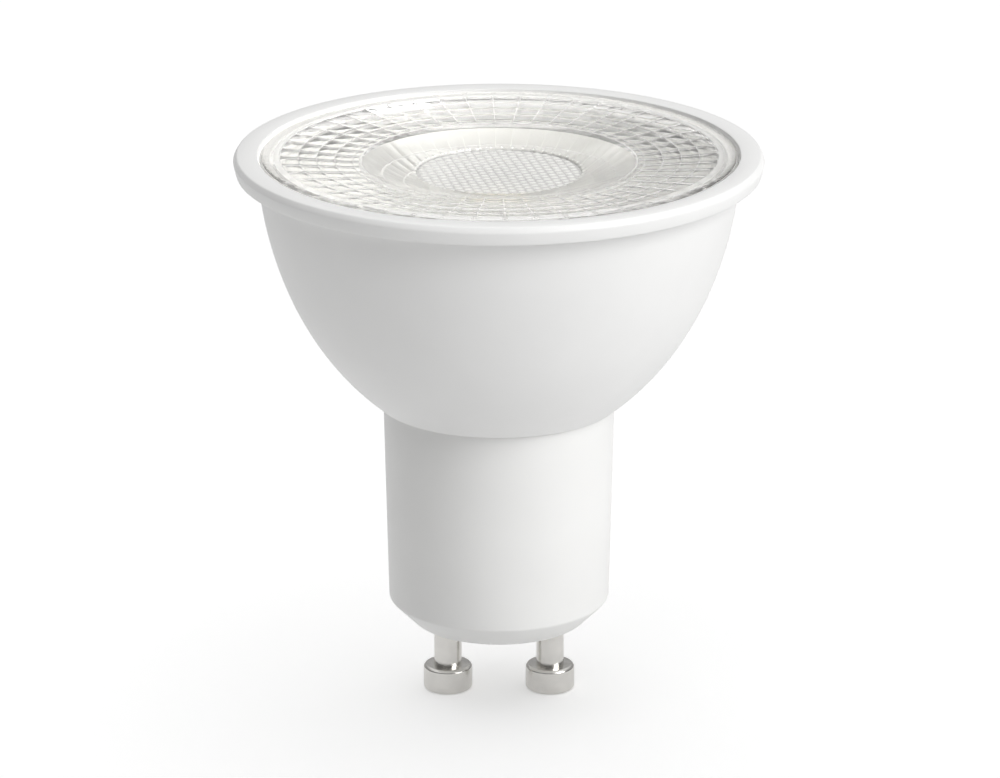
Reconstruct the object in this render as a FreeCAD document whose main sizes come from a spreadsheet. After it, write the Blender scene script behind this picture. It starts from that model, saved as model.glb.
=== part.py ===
import FreeCAD, Part
import math
import operator
import os
import Sketcher

# A spotlight bulb with a GU10 cap, in millimetres. +Z runs up the bulb's axis from the
# pins to the lens, the pins stand side by side along X, and the origin lies between
# them at the level of their undersides.

# Driving sizes: name, value, what it measures
SIZES = (
    ("pin_spacing", 10.0, "distance between the axes of the two pins"),
    ("pin_length", 7.64, "underside of a pin to the underside of the base"),
    ("pin_foot_radius", 2.4, "radius of a pin's wide foot"),
    ("pin_foot_height", 2.5, "height of a pin's wide foot"),
    ("pin_foot_edge", 0.22, "bevel on both edges of the foot"),
    ("pin_shank_radius", 1.35, "radius of a pin between foot and base"),
    ("pin_rivet_radius", 1.95, "radius of the head that holds a pin inside the base"),
    ("pin_rivet_height", 0.6, "thickness of that head"),
    ("pin_bore_radius", 0.75, "radius of the bore in which a pin's lead is held"),
    ("pin_bore_depth", 3.0, "depth of that bore"),
    ("base_bevel", 2.27, "height and width of the bevel round the base"),
    ("base_thickness", 1.6, "thickness of the base's floor"),
    ("neck_widening", 0.45, "how much the neck's radius grows from the bevel to the cup"),
    ("neck_wall", 1.3, "wall of the neck"),
    ("pin_boss_radius", 3.1, "radius of the boss round each pin"),
    ("pin_boss_height", 3.0, "height of that boss above the floor"),
    ("shoulder_width", 0.95, "width of the neck's shoulder that carries the cup"),
    ("spigot_wall", 1.2, "wall of the spigot that enters the cup"),
    ("spigot_height", 3.4, "height of the spigot above the shoulder"),
    ("snap_bead", 0.45, "how far the snap bead stands out of the spigot"),
    ("snap_slot_width", 1.6, "width of the slots that let the spigot flex"),
    ("snap_slot_depth", 2.7, "depth of those slots"),
    ("snap_slot_count", 4, "slots round the spigot"),
    ("rail_depth", 1.5, "how far the board rails reach in from the wall"),
    ("rail_wall", 0.9, "thickness of each rail"),
    ("rail_top_gap", 0.06, "top of the rails to the shoulder"),
    ("rail_clearance", 0.4, "gap between the rails and the parts on the driver board"),
    ("rail_grip", 0.6, "how far the driver board enters each rail"),
    ("lip_overhang", 0.45, "how far the cup's lower edge stands out over the neck"),
    ("cup_lip_height", 1.8, "height of the land that the snap bead grips"),
    ("cup_wall", 1.3, "wall of the cup"),
    ("bowl_flare", 7.35, "how much wider the bowl's mouth is than the LED board"),
    ("bowl_lip_slope", 1.272, "run outwards for each step up, at the bowl's lower edge"),
    ("bowl_mouth_slope", 0.0673, "the same slope at the bowl's mouth"),
    ("bowl_arc_ratio", 0.695, "tangent of the bowl's lower arc as a share of the upper arc's"),
    ("rim_overhang", 2.3, "how far the rim stands out over the bowl's mouth"),
    ("rim_height", 1.75, "height of the rim"),
    ("rim_inset", 0.3, "how far the rim's side lies in at its lower edge"),
    ("rim_bevel_width", 0.33, "width of the bevel on the rim's upper edge"),
    ("rim_bevel_height", 0.53, "height of that bevel"),
    ("rim_wall", 2.32, "width of the rim round the lens"),
    ("lens_seat_depth", 0.9, "depth of the ledge that carries the lens"),
    ("lens_recess", 0.15, "how far the lens lies below the top of the rim"),
    ("lens_gap", 0.15, "gap round the lens"),
    ("lens_edge_round", 0.45, "round on the upper edge of the lens"),
    ("lens_plate_thickness", 1.8, "thickness of the lens's plate inside the ledge"),
    ("lens_border_width", 1.98, "width of the smooth border of the lens"),
    ("facet_rows", 4, "rows of facets"),
    ("facet_step", 0.14, "drop from one row of facets to the next"),
    ("facet_sectors", 48, "facets in one row, and flutes round the collimator"),
    ("facet_groove_width", 0.46, "width of the grooves between sectors"),
    ("facet_groove_depth", 0.15, "depth of those grooves"),
    ("dish_radius", 13.2, "radius of the dish in the middle of the lens"),
    ("dish_ledge", 0.64, "width of the flat ledge round the dish"),
    ("dish_rim_drop", 0.7, "top of the rim to the edge of the dish"),
    ("dish_depth", 1.1, "depth of the dish"),
    ("disc_radius", 7.95, "radius of the flat disc in the dish"),
    ("collimator_ledge", 0.1, "how much wider the collimator is than the dish"),
    ("collimator_height", 9.4, "height of the collimator below the plate"),
    ("collimator_bulge", 0.75, "how far the collimator's side bulges out of a cone"),
    ("collimator_step", 0.2, "width of the step between two tiers of flutes"),
    ("collimator_tiers", 3, "tiers of flutes"),
    ("foot_wall", 1.3, "wall of the collimator at its foot"),
    ("cavity_air", 0.6, "outer LEDs to the wall of the cavity over them"),
    ("cavity_narrowing", 0.7, "how much narrower that cavity is under its dome"),
    ("cavity_height", 5.4, "height of the cavity up to its dome"),
    ("cavity_dome", 1.1, "height of the dome"),
    ("lens_air", 0.3, "gap between the collimator's foot and the LED board"),
    ("spreader_wall", 1.0, "thickness of the aluminium cup"),
    ("spreader_gap", 0.05, "gap between the aluminium and the bowl"),
    ("skirt_gap", 0.6, "top of the aluminium cup to the lens's plate"),
    ("pad_thickness", 0.2, "thickness of the thermal pad"),
    ("pad_inset", 0.6, "edge of the LED board to the edge of the thermal pad"),
    ("board_thickness", 1.6, "thickness of the LED board"),
    ("board_margin", 2.3, "axis of a board screw to the edge of the LED board"),
    ("lead_inset", 2.2, "foot of the collimator to the middle of the lead hole"),
    ("lead_hole_room", 0.4, "how much wider the lead hole is in the board than in the cap"),
    ("screw_clearance", 0.3, "gap between the screws and the driver's cap"),
    ("screw_radius", 1.0, "radius of a screw's shank"),
    ("screw_length", 4.0, "length of a screw's shank"),
    ("screw_head_radius", 1.9, "radius of a screw's head"),
    ("screw_head_height", 1.3, "height of a screw's head"),
    ("screw_socket_width", 0.5, "width of each arm of the cross recess"),
    ("screw_socket_reach", 2.2, "length of each arm of the cross recess"),
    ("screw_socket_depth", 0.7, "depth of the cross recess"),
    ("hole_clearance", 0.05, "radial clearance round screws and pins"),
    ("led_length", 3.5, "length of an LED package"),
    ("led_width", 2.8, "width of an LED package"),
    ("led_height", 0.7, "height of an LED package"),
    ("led_end_gap", 0.25, "gap between LED packages end to end"),
    ("led_side_gap", 0.44, "gap between LED packages side by side"),
    ("led_ring_count", 6, "LEDs in the ring round the middle one"),
    ("cap_wall", 0.9, "wall of the driver's insulating cap"),
    ("cap_flare_height", 2.0, "height over which the cap widens"),
    ("cap_air", 0.15, "gap between the cap and the aluminium"),
    ("cap_margin", 0.2, "lead hole to the inside of the cap's wall"),
    ("cap_hole_play", 0.05, "play of the LED leads in their hole in the cap"),
    ("driver_thickness", 1.0, "thickness of the driver board"),
    ("driver_clearance", 2.7, "gap between the heads of the pins and the driver board"),
    ("driver_rise", 8.34, "how far the driver board stands up above the shoulder"),
    ("driver_head_gap", 0.91, "gap between the driver board and the inside of the cap"),
    ("driver_play", 0.12, "play of the driver board in its rails"),
    ("driver_margin", 0.6, "lamp-side capacitor to the upper edge of the driver board"),
    ("part_gap", 0.02, "gap between the driver board and what is soldered to it"),
    ("bulk_radius", 4.0, "radius of the mains-side capacitor"),
    ("bulk_length", 12.0, "length of the mains-side capacitor"),
    ("bulk_lift", 3.2, "lower edge of the driver board to that capacitor"),
    ("output_radius", 3.15, "radius of the lamp-side capacitor"),
    ("output_length", 8.5, "length of the lamp-side capacitor"),
    ("output_gap", 2.2, "transformer's core to the lamp-side capacitor"),
    ("core_width", 8.0, "width of the transformer's core"),
    ("core_depth", 7.2, "depth of the transformer's core"),
    ("core_height", 9.5, "height of the transformer's core"),
    ("core_limb", 1.7, "thickness of the core's limbs"),
    ("core_lift", 1.8, "lower edge of the driver board to the core"),
    ("bobbin_radius", 2.0, "radius of the winding on its bobbin"),
    ("bobbin_flange", 0.5, "thickness of the bobbin's flanges"),
    ("fuse_radius", 1.3, "radius of the fusible resistor"),
    ("fuse_length", 6.6, "length of the fusible resistor"),
    ("fuse_gap", 0.9, "mains-side capacitor to the fusible resistor"),
    ("fuse_lift", 6.4, "lower edge of the driver board to that resistor"),
    ("film_width", 2.6, "width of the box capacitor"),
    ("film_depth", 4.0, "depth of the box capacitor"),
    ("film_height", 7.0, "height of the box capacitor"),
    ("film_gap", 0.5, "mains-side capacitor to the box capacitor"),
    ("film_lift", 6.0, "lower edge of the driver board to the box capacitor"),
    ("chip_gap", 0.2, "transformer's core to the chips beside it"),
    ("bridge_width", 3.3, "width of the bridge rectifier"),
    ("bridge_length", 4.5, "length of the bridge rectifier"),
    ("bridge_height", 1.5, "height of the bridge rectifier"),
    ("chip_lift", 2.4, "lower edge of the driver board to the rectifier and the driver chip"),
    ("ic_width", 3.2, "width of the driver chip"),
    ("ic_length", 4.9, "length of the driver chip"),
    ("ic_height", 1.45, "height of the driver chip"),
    ("diode_width", 2.6, "width of the diode"),
    ("diode_length", 4.3, "length of the diode"),
    ("diode_height", 2.2, "height of the diode"),
    ("diode_gap", 0.6, "uppermost chip resistor to the diode"),
    ("resistor_length", 3.2, "length of a chip resistor"),
    ("resistor_width", 1.6, "width of a chip resistor"),
    ("resistor_height", 0.55, "height of a chip resistor"),
    ("resistor_gap", 1.1, "rectifier and driver chip to the lowest chip resistor"),
    ("resistor_space", 0.6, "gap from one chip resistor to the next"),
    ("resistor_rows", 3, "chip resistors on each side of the core"),
    ("ceramic_length", 2.0, "length of a chip capacitor"),
    ("ceramic_width", 1.25, "width of a chip capacitor"),
    ("ceramic_height", 1.1, "height of a chip capacitor"),
    ("ceramic_gap", 1.2, "mains-side capacitor to the lower chip capacitor"),
    ("ceramic_space", 1.15, "gap from one chip capacitor to the next"),
    ("ceramic_rows", 2, "chip capacitors on each side of the driver board's middle"),
    ("lead_radius", 0.45, "radius of the insulated leads"),
    ("lead_spread", 0.8, "distance of each LED lead from the middle plane"),
    ("pin_lead_seat", 0.2, "bottom of a pin's bore to the end of its lead"),
    ("pin_lead_dip", 2.2, "lower edge of the driver board to the bend where a pin's lead leans out"),
    ("pin_lead_bend", 0.9, "lower edge of the driver board to the bend where it stands upright again"),
    ("pin_lead_joint", 3.6, "lower edge of the driver board to the joint of a pin's lead"),
    ("pin_lead_reach", 1.8, "how far a pin's lead stands out from the driver board"),
    ("led_lead_root", 6.4, "top of the cap down to the joint of an LED lead on the driver board"),
    ("led_lead_out", 2.6, "how far an LED lead first runs out from that joint"),
    ("led_lead_lean", 4.6, "driver board to the middle of the LED lead's slanting run"),
    ("led_lead_middle", 3.8, "top of the cap down to the middle of that run"),
    ("led_lead_bend", 1.9, "top of the cap down to where an LED lead stands upright"),
    ("led_lead_rise", 1.2, "how far an LED lead rises above the LED board"),
    ("led_lead_landing", 2.6, "middle of the lead hole to the pad of an LED lead"),
    ("terminal_radius", 0.28, "radius of the bare wires of the capacitors"),
)

doc = FreeCAD.newDocument("spotlight_bulb")
sheet = doc.addObject("Spreadsheet::Sheet", "Sizes")


class Size:
    """A length with its present value and the sheet formula that gives it."""

    def __init__(self, value, formula):
        self.value = value
        self.formula = formula

    def __add__(self, other):
        return combine(self, "+", other, operator.add)

    def __sub__(self, other):
        return combine(self, "-", other, operator.sub)

    def __mul__(self, other):
        return combine(self, "*", other, operator.mul)

    def __truediv__(self, other):
        return combine(self, "/", other, operator.truediv)

    def __neg__(self):
        return combine(0, "-", self, operator.sub)


def as_size(item):
    """A Size as it is, and a plain number as a Size."""
    if isinstance(item, Size):
        return item
    return Size(float(item), f"({float(item)})")


def combine(first, sign, second, work):
    first = as_size(first)
    second = as_size(second)
    return Size(work(first.value, second.value), f"({first.formula} {sign} {second.formula})")


def root(item):
    item = as_size(item)
    return Size(math.sqrt(item.value), f"sqrt({item.formula})")


def larger(first, second):
    return Size(max(first.value, second.value), f"max({first.formula}; {second.formula})")


rows_used = 0
named = {}


def keep(alias, text, value, note):
    """Write one row of the sheet and remember its Size."""
    global rows_used
    rows_used += 1
    sheet.set(f"A{rows_used}", note)
    sheet.set(f"B{rows_used}", text)
    sheet.setAlias(f"B{rows_used}", alias)
    named[alias] = Size(value, f"Sizes.{alias}")
    return named[alias]


def derived(alias, item, note):
    """A size that the sheet works out from the driving ones."""
    item = as_size(item)
    return keep(alias, "=" + item.formula.replace("Sizes.", ""), item.value, note)


for size_name, size_value, size_note in SIZES:
    keep(size_name, str(size_value), float(size_value), size_note)


def s(alias):
    return named[alias]


# Bodies and sketches

def new_body(name):
    body = doc.addObject("PartDesign::Body", name)
    body.Label = name
    return body


def origin_plane(body, role):
    return next(item for item in body.Origin.OriginFeatures if item.Role == role)


def new_sketch(body, name, role="XZ_Plane", offset=None):
    """A sketch on one of the body's own planes, moved along its normal by offset."""
    sketch = body.newObject("Sketcher::SketchObject", name)
    sketch.AttachmentSupport = [(origin_plane(body, role), "")]
    sketch.MapMode = "FlatFace"
    if offset is not None:
        offset = as_size(offset)
        sketch.AttachmentOffset = FreeCAD.Placement(FreeCAD.Vector(0, 0, offset.value), FreeCAD.Rotation())
        sketch.setExpression("AttachmentOffset.Base.z", offset.formula)
    return sketch


def bind(sketch, kind, *places, item):
    """Add a dimension and tie it to its formula."""
    index = sketch.addConstraint(Sketcher.Constraint(kind, *places, item.value))
    sketch.setExpression(f"Constraints[{index}]", item.formula)


def pin_point(sketch, edge, end, x, y):
    """Fix one end of an edge at x, y."""
    if x.value == 0 and y.value == 0:
        sketch.addConstraint(Sketcher.Constraint("Coincident", edge, end, -1, 1))
        return
    if x.value == 0:
        sketch.addConstraint(Sketcher.Constraint("PointOnObject", edge, end, -2))
    else:
        bind(sketch, "DistanceX", -1, 1, edge, end, item=x)
    if y.value == 0:
        sketch.addConstraint(Sketcher.Constraint("PointOnObject", edge, end, -1))
    else:
        bind(sketch, "DistanceY", -1, 1, edge, end, item=y)


def arc_between(start, finish, radius, turn):
    """The arc from start to finish that turns left or right with this radius."""
    chord = finish - start
    rise = math.sqrt(radius ** 2 - chord.Length ** 2 / 4)
    left = FreeCAD.Vector(-chord.y, chord.x, 0) / chord.Length
    side = 1 if turn == "left" else -1
    centre = (start + finish) / 2 + left * (side * rise)
    first, last = (start, finish) if turn == "left" else (finish, start)
    first_angle = math.atan2(first.y - centre.y, first.x - centre.x)
    last_angle = math.atan2(last.y - centre.y, last.x - centre.x)
    if last_angle < first_angle:
        last_angle += 2 * math.pi
    circle = Part.Circle(centre, FreeCAD.Vector(0, 0, 1), radius)
    return Part.ArcOfCircle(circle, first_angle, last_angle)


def add_loop(sketch, corners):
    """Draw a closed outline. A corner is (x, y), or (x, y, radius, turn) where an arc follows it."""
    corners = [(as_size(c[0]), as_size(c[1]), *c[2:]) for c in corners]
    points = [FreeCAD.Vector(c[0].value, c[1].value, 0) for c in corners]
    ends = []
    for place, corner in enumerate(corners):
        start = points[place]
        finish = points[(place + 1) % len(points)]
        if len(corner) == 2:
            edge = sketch.addGeometry(Part.LineSegment(start, finish))
            ends.append((edge, 1, 2))
            continue
        radius, turn = as_size(corner[2]), corner[3]
        edge = sketch.addGeometry(arc_between(start, finish, radius.value, turn))
        ends.append((edge, 1, 2) if turn == "left" else (edge, 2, 1))
        bind(sketch, "Radius", edge, item=radius)
    for place, (edge, start_end, _) in enumerate(ends):
        before, _, finish_end = ends[place - 1]
        sketch.addConstraint(Sketcher.Constraint("Coincident", before, finish_end, edge, start_end))
        pin_point(sketch, edge, start_end, corners[place][0], corners[place][1])


def add_circle(sketch, x, y, radius):
    x, y, radius = as_size(x), as_size(y), as_size(radius)
    centre = FreeCAD.Vector(x.value, y.value, 0)
    edge = sketch.addGeometry(Part.Circle(centre, FreeCAD.Vector(0, 0, 1), radius.value))
    bind(sketch, "Radius", edge, item=radius)
    pin_point(sketch, edge, 3, x, y)


def add_box(sketch, x0, y0, x1, y1):
    add_loop(sketch, [(x0, y0), (x1, y0), (x1, y1), (x0, y1)])


# Features

def feature(body, kind, name, sketch):
    item = body.newObject(kind, name)
    item.Profile = sketch
    return item


def turned(body, name, corners):
    """A revolved solid from its half outline in the XZ plane."""
    sketch = new_sketch(body, name + "_section")
    add_loop(sketch, corners)
    item = feature(body, "PartDesign::Revolution", name, sketch)
    item.ReferenceAxis = (sketch, ["V_Axis"])
    item.Angle = 360
    return item


def padded(body, name, sketch, height):
    item = feature(body, "PartDesign::Pad", name, sketch)
    item.setExpression("Length", as_size(height).formula)
    return item


def cut_down(body, name, sketch, depth=None):
    """A pocket against the sketch's normal, or right through where no depth is given."""
    item = feature(body, "PartDesign::Pocket", name, sketch)
    if depth is None:
        item.Type = "ThroughAll"
        item.SideType = "Symmetric"
    else:
        item.setExpression("Length", as_size(depth).formula)
    return item


def polar(body, name, originals, count):
    item = body.newObject("PartDesign::PolarPattern", name)
    item.Originals = originals
    item.Axis = (next(f for f in body.Origin.OriginFeatures if f.Role == "Z_Axis"), [""])
    item.Angle = 360
    count = as_size(count)
    item.Occurrences = int(count.value)
    item.setExpression("Occurrences", count.formula)
    body.Tip = item
    return item


def place(item, x=None, y=None, z=None):
    """Tie an object's place to its formulas."""
    for axis, value in (("x", x), ("y", y), ("z", z)):
        if value is not None:
            item.setExpression(f"Placement.Base.{axis}", as_size(value).formula)


def box(name, x, y, z, length, width, height):
    """A box from its lowest corner and its sizes along X, Y and Z."""
    item = doc.addObject("Part::Box", name)
    item.Label = name
    for field, value in (("Length", length), ("Width", width), ("Height", height)):
        item.setExpression(field, as_size(value).formula)
    place(item, x, y, z)
    return item


def boolean(kind, name, items):
    result = doc.addObject(kind, name)
    result.Label = name
    if kind == "Part::Cut":
        result.Base, result.Tool = items
    elif kind == "Part::Compound":
        result.Links = items
    else:
        result.Shapes = items
    return result


# The bulb is sized from the inside out. The parts on the driver board set the width and
# height of the neck, and the LEDs set the lens's foot, the lead hole, the driver's cap,
# the screws and the LED board. The bowl's mouth and the rim follow from that board.

chip_column = derived(
    "chip_column",
    larger(larger(s("bridge_width"), s("ic_width")), s("resistor_length")),
    "width of the column of chips beside the core",
)
chip_place = derived("chip_place", s("core_width") / 2 + s("chip_gap") + chip_column / 2, "axis to the chips")
fuse_place = derived(
    "fuse_place", s("bulk_radius") + s("fuse_gap") + s("fuse_radius"), "axis to the fusible resistor"
)
resistor_pitch = derived(
    "resistor_pitch", s("resistor_width") + s("resistor_space"), "one chip resistor to the next"
)
ceramic_pitch = derived(
    "ceramic_pitch", s("ceramic_width") + s("ceramic_space"), "one chip capacitor to the next"
)
resistor_lift = derived(
    "resistor_lift",
    s("chip_lift") + larger(s("bridge_length"), s("ic_length")) + s("resistor_gap"),
    "lower edge of the driver board to the lowest chip resistor",
)
diode_lift = derived(
    "diode_lift",
    resistor_lift + resistor_pitch * s("resistor_rows") - s("resistor_space") + s("diode_gap"),
    "lower edge of the driver board to the diode",
)
ceramic_lift = derived(
    "ceramic_lift",
    s("bulk_lift") + s("bulk_length") + s("ceramic_gap"),
    "lower edge of the driver board to the lower chip capacitor",
)
output_lift = derived(
    "output_lift",
    s("core_lift") + s("core_height") + s("output_gap"),
    "lower edge of the driver board to the lamp-side capacitor",
)
driver_height = derived(
    "driver_height", output_lift + s("output_length") + s("driver_margin"), "height of the driver board"
)
rail_face = derived(
    "rail_face",
    larger(fuse_place + s("fuse_radius"), chip_place + chip_column / 2) + s("rail_clearance"),
    "axis to the inner face of each rail",
)
driver_width = derived("driver_width", (rail_face + s("rail_grip")) * 2, "width of the driver board")
neck_bore = derived("neck_bore", rail_face + s("rail_depth"), "inner radius of the neck above the bevel")
neck_bottom = derived("neck_bottom", neck_bore + s("neck_wall"), "radius of the neck above the bevel")
neck_top = derived("neck_top", neck_bottom + s("neck_widening"), "radius of the neck under the cup")
spigot_radius = derived("spigot_radius", neck_top - s("shoulder_width"), "radius of the spigot")
cup_lip_radius = derived("cup_lip_radius", neck_top + s("lip_overhang"), "radius of the cup's lower edge")

led_ring_radius = derived(
    "led_ring_radius",
    larger(s("led_length") + s("led_end_gap"), (s("led_width") + s("led_side_gap")) / root(0.75)),
    "radius of the ring of outer LEDs",
)
cavity_radius = derived(
    "cavity_radius", led_ring_radius + s("led_length") / 2 + s("cavity_air"), "radius of the cavity's mouth"
)
foot_radius = derived("foot_radius", cavity_radius + s("foot_wall"), "radius of the collimator's foot")
lead_hole_place = derived("lead_hole_place", foot_radius + s("lead_inset"), "axis to the lead hole")
cap_hole_radius = derived(
    "cap_hole_radius",
    s("lead_spread") + s("lead_radius") + s("cap_hole_play"),
    "radius of the lead hole in the cap",
)
lead_hole_radius = derived(
    "lead_hole_radius", cap_hole_radius + s("lead_hole_room"), "radius of the lead hole in the LED board"
)
cap_radius = derived(
    "cap_radius",
    lead_hole_place + cap_hole_radius + s("cap_margin") + s("cap_wall"),
    "radius of the driver's cap",
)
screw_place = derived(
    "screw_place", cap_radius + s("screw_clearance") + s("screw_radius"), "axis to each board screw"
)
board_radius = derived("board_radius", screw_place + s("board_margin"), "radius of the LED board")
mouth_radius = derived("mouth_radius", board_radius + s("bowl_flare"), "radius of the bowl's mouth")
rim_radius = derived("rim_radius", mouth_radius + s("rim_overhang"), "widest radius of the rim")
opening_radius = derived("opening_radius", rim_radius - s("rim_wall"), "radius of the opening for the lens")
border_radius = derived("border_radius", opening_radius - s("lens_gap"), "radius of the lens")
facet_outer = derived("facet_outer", border_radius - s("lens_border_width"), "outer radius of the facets")
facet_inner = derived("facet_inner", s("dish_radius") + s("dish_ledge"), "inner radius of the facets")

# Levels along the axis, worked out once and shared by the pieces that meet there

base_level = s("pin_length")
floor_level = derived("floor_level", base_level + s("base_thickness"), "top of the base's floor")
bevel_level = derived("bevel_level", base_level + s("base_bevel"), "top of the base's bevel")
rivet_level = derived("rivet_level", floor_level + s("pin_boss_height"), "underside of the pins' heads")
rivet_top = derived("rivet_top", rivet_level + s("pin_rivet_height"), "top of the pins' heads")
driver_level = derived("driver_level", rivet_top + s("driver_clearance"), "lower edge of the driver board")
shoulder_level = derived(
    "shoulder_level", driver_level + driver_height - s("driver_rise"), "shoulder that carries the cup"
)
land_level = derived("land_level", shoulder_level + s("cup_lip_height"), "land that the snap bead grips")
spigot_level = derived("spigot_level", shoulder_level + s("spigot_height"), "top of the spigot")
cap_level = derived(
    "cap_level",
    driver_level + driver_height + s("driver_head_gap") + s("cap_wall"),
    "top of the driver's cap",
)
spreader_under = derived("spreader_under", cap_level + s("cap_air"), "underside of the aluminium floor")
spreader_level = derived("spreader_level", spreader_under + s("spreader_wall"), "top of the aluminium floor")
pad_level = derived("pad_level", spreader_level + s("pad_thickness"), "underside of the LED board")
board_level = derived("board_level", pad_level + s("board_thickness"), "top of the LED board")
foot_level = derived("foot_level", board_level + s("lens_air"), "foot of the collimator")
plate_level = derived("plate_level", foot_level + s("collimator_height"), "underside of the lens's plate")
lens_level = derived("lens_level", plate_level + s("lens_plate_thickness"), "top of the lens's border")
rim_level = derived("rim_level", lens_level + s("lens_recess"), "top of the rim")
rim_under_level = derived("rim_under_level", rim_level - s("rim_height"), "underside of the rim")
seat_level = derived("seat_level", rim_level - s("lens_seat_depth"), "ledge that carries the lens")

# The bowl's outline is two arcs that meet without a corner. It runs from the lip to the
# mouth, and its slope is given at both ends.


def upward(slope):
    """The direction, as X and Z, of a line that runs outwards by slope for each step up."""
    length = root(slope * slope + 1)
    return slope / length, as_size(1) / length


def across(first, second):
    """The scalar product of two directions or distances."""
    return first[0] * second[0] + first[1] * second[1]


def apart(start, finish):
    """The distances, as X and Z, from start to finish."""
    return finish[0] - start[0], finish[1] - start[1]


def ahead(start, direction, distance):
    """The point that lies this far from start in this direction."""
    return start[0] + direction[0] * distance, start[1] + direction[1] * distance


def arc_through(name, start, direction, finish):
    """Radius and centre of the arc that leaves start in this direction and passes through finish."""
    inward = (-direction[1], direction[0])
    chord = apart(start, finish)
    radius = across(chord, chord) / (across(chord, inward) * 2)
    radius = derived(f"{name}_arc", radius, f"radius of the {name} arc")
    centre = ahead(start, inward, radius)
    centre_x = derived(f"{name}_x", centre[0], f"centre of the {name} arc, from the axis")
    centre_level = derived(f"{name}_level", centre[1], f"centre of the {name} arc, level")
    return radius, centre_x, centre_level


def bowl_joint(lip, lip_way, mouth, mouth_way):
    """The point where the two arcs meet."""
    ratio = s("bowl_arc_ratio")
    span = apart(lip, mouth)
    bend = derived("bowl_bend", as_size(1) - across(lip_way, mouth_way), "how much the bowl's outline turns")
    push = ratio * across(span, lip_way) + across(span, mouth_way)
    push = derived("bowl_push", push, "lip to mouth, measured along both slopes")
    reach = (root(push * push + ratio * bend * across(span, span) * 2) - push) / (ratio * bend * 2)
    reach = derived("bowl_reach", reach, "length of the upper arc's tangents")
    lower_end = ahead(lip, lip_way, ratio * reach)
    upper_end = ahead(mouth, mouth_way, -reach)
    joint_x = derived("joint_x", (lower_end[0] + ratio * upper_end[0]) / (ratio + 1), "radius at the joint")
    joint_z = derived("joint_z", (lower_end[1] + ratio * upper_end[1]) / (ratio + 1), "level of the joint")
    return joint_x, joint_z


bowl_lip = (cup_lip_radius, shoulder_level)
bowl_mouth = (mouth_radius, rim_under_level)
bowl_meet = bowl_joint(bowl_lip, upward(s("bowl_lip_slope")), bowl_mouth, upward(s("bowl_mouth_slope")))
lower_arc, lower_x, lower_level = arc_through("lower", bowl_lip, upward(s("bowl_lip_slope")), bowl_meet)
upper_arc, upper_x, upper_level = arc_through("upper", bowl_mouth, upward(s("bowl_mouth_slope")), bowl_meet)


def on_arc(radius, level, centre_x, centre_level):
    """The distance from the axis, at this level, of an arc about the given centre."""
    drop = as_size(level) - centre_level
    return centre_x + root(radius * radius - drop * drop)


# Cup

def make_lamp_cup():
    """The bowl and its rim, with the ledge for the lens and the land for the snap bead."""
    wall = s("cup_wall")
    upper_inside = upper_arc - wall
    lower_inside = lower_arc - wall
    bore = spigot_radius + s("hole_clearance")
    inner_joint = ahead(bowl_meet, apart(bowl_meet, (upper_x, upper_level)), wall / upper_arc)
    body = new_body("lamp_cup")
    turned(body, "cup_section", [
        (bore, shoulder_level),
        (*bowl_lip, lower_arc, "left"),
        (*bowl_meet, upper_arc, "left"),
        bowl_mouth,
        (rim_radius - s("rim_inset"), rim_under_level),
        (rim_radius, rim_level - s("rim_bevel_height")),
        (rim_radius - s("rim_bevel_width"), rim_level),
        (opening_radius, rim_level),
        (opening_radius, seat_level),
        (on_arc(upper_inside, seat_level, upper_x, upper_level), seat_level, upper_inside, "right"),
        (*inner_joint, lower_inside, "right"),
        (on_arc(lower_inside, land_level, lower_x, lower_level), land_level),
        (bore, land_level),
    ])
    return body


# Neck

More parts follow.
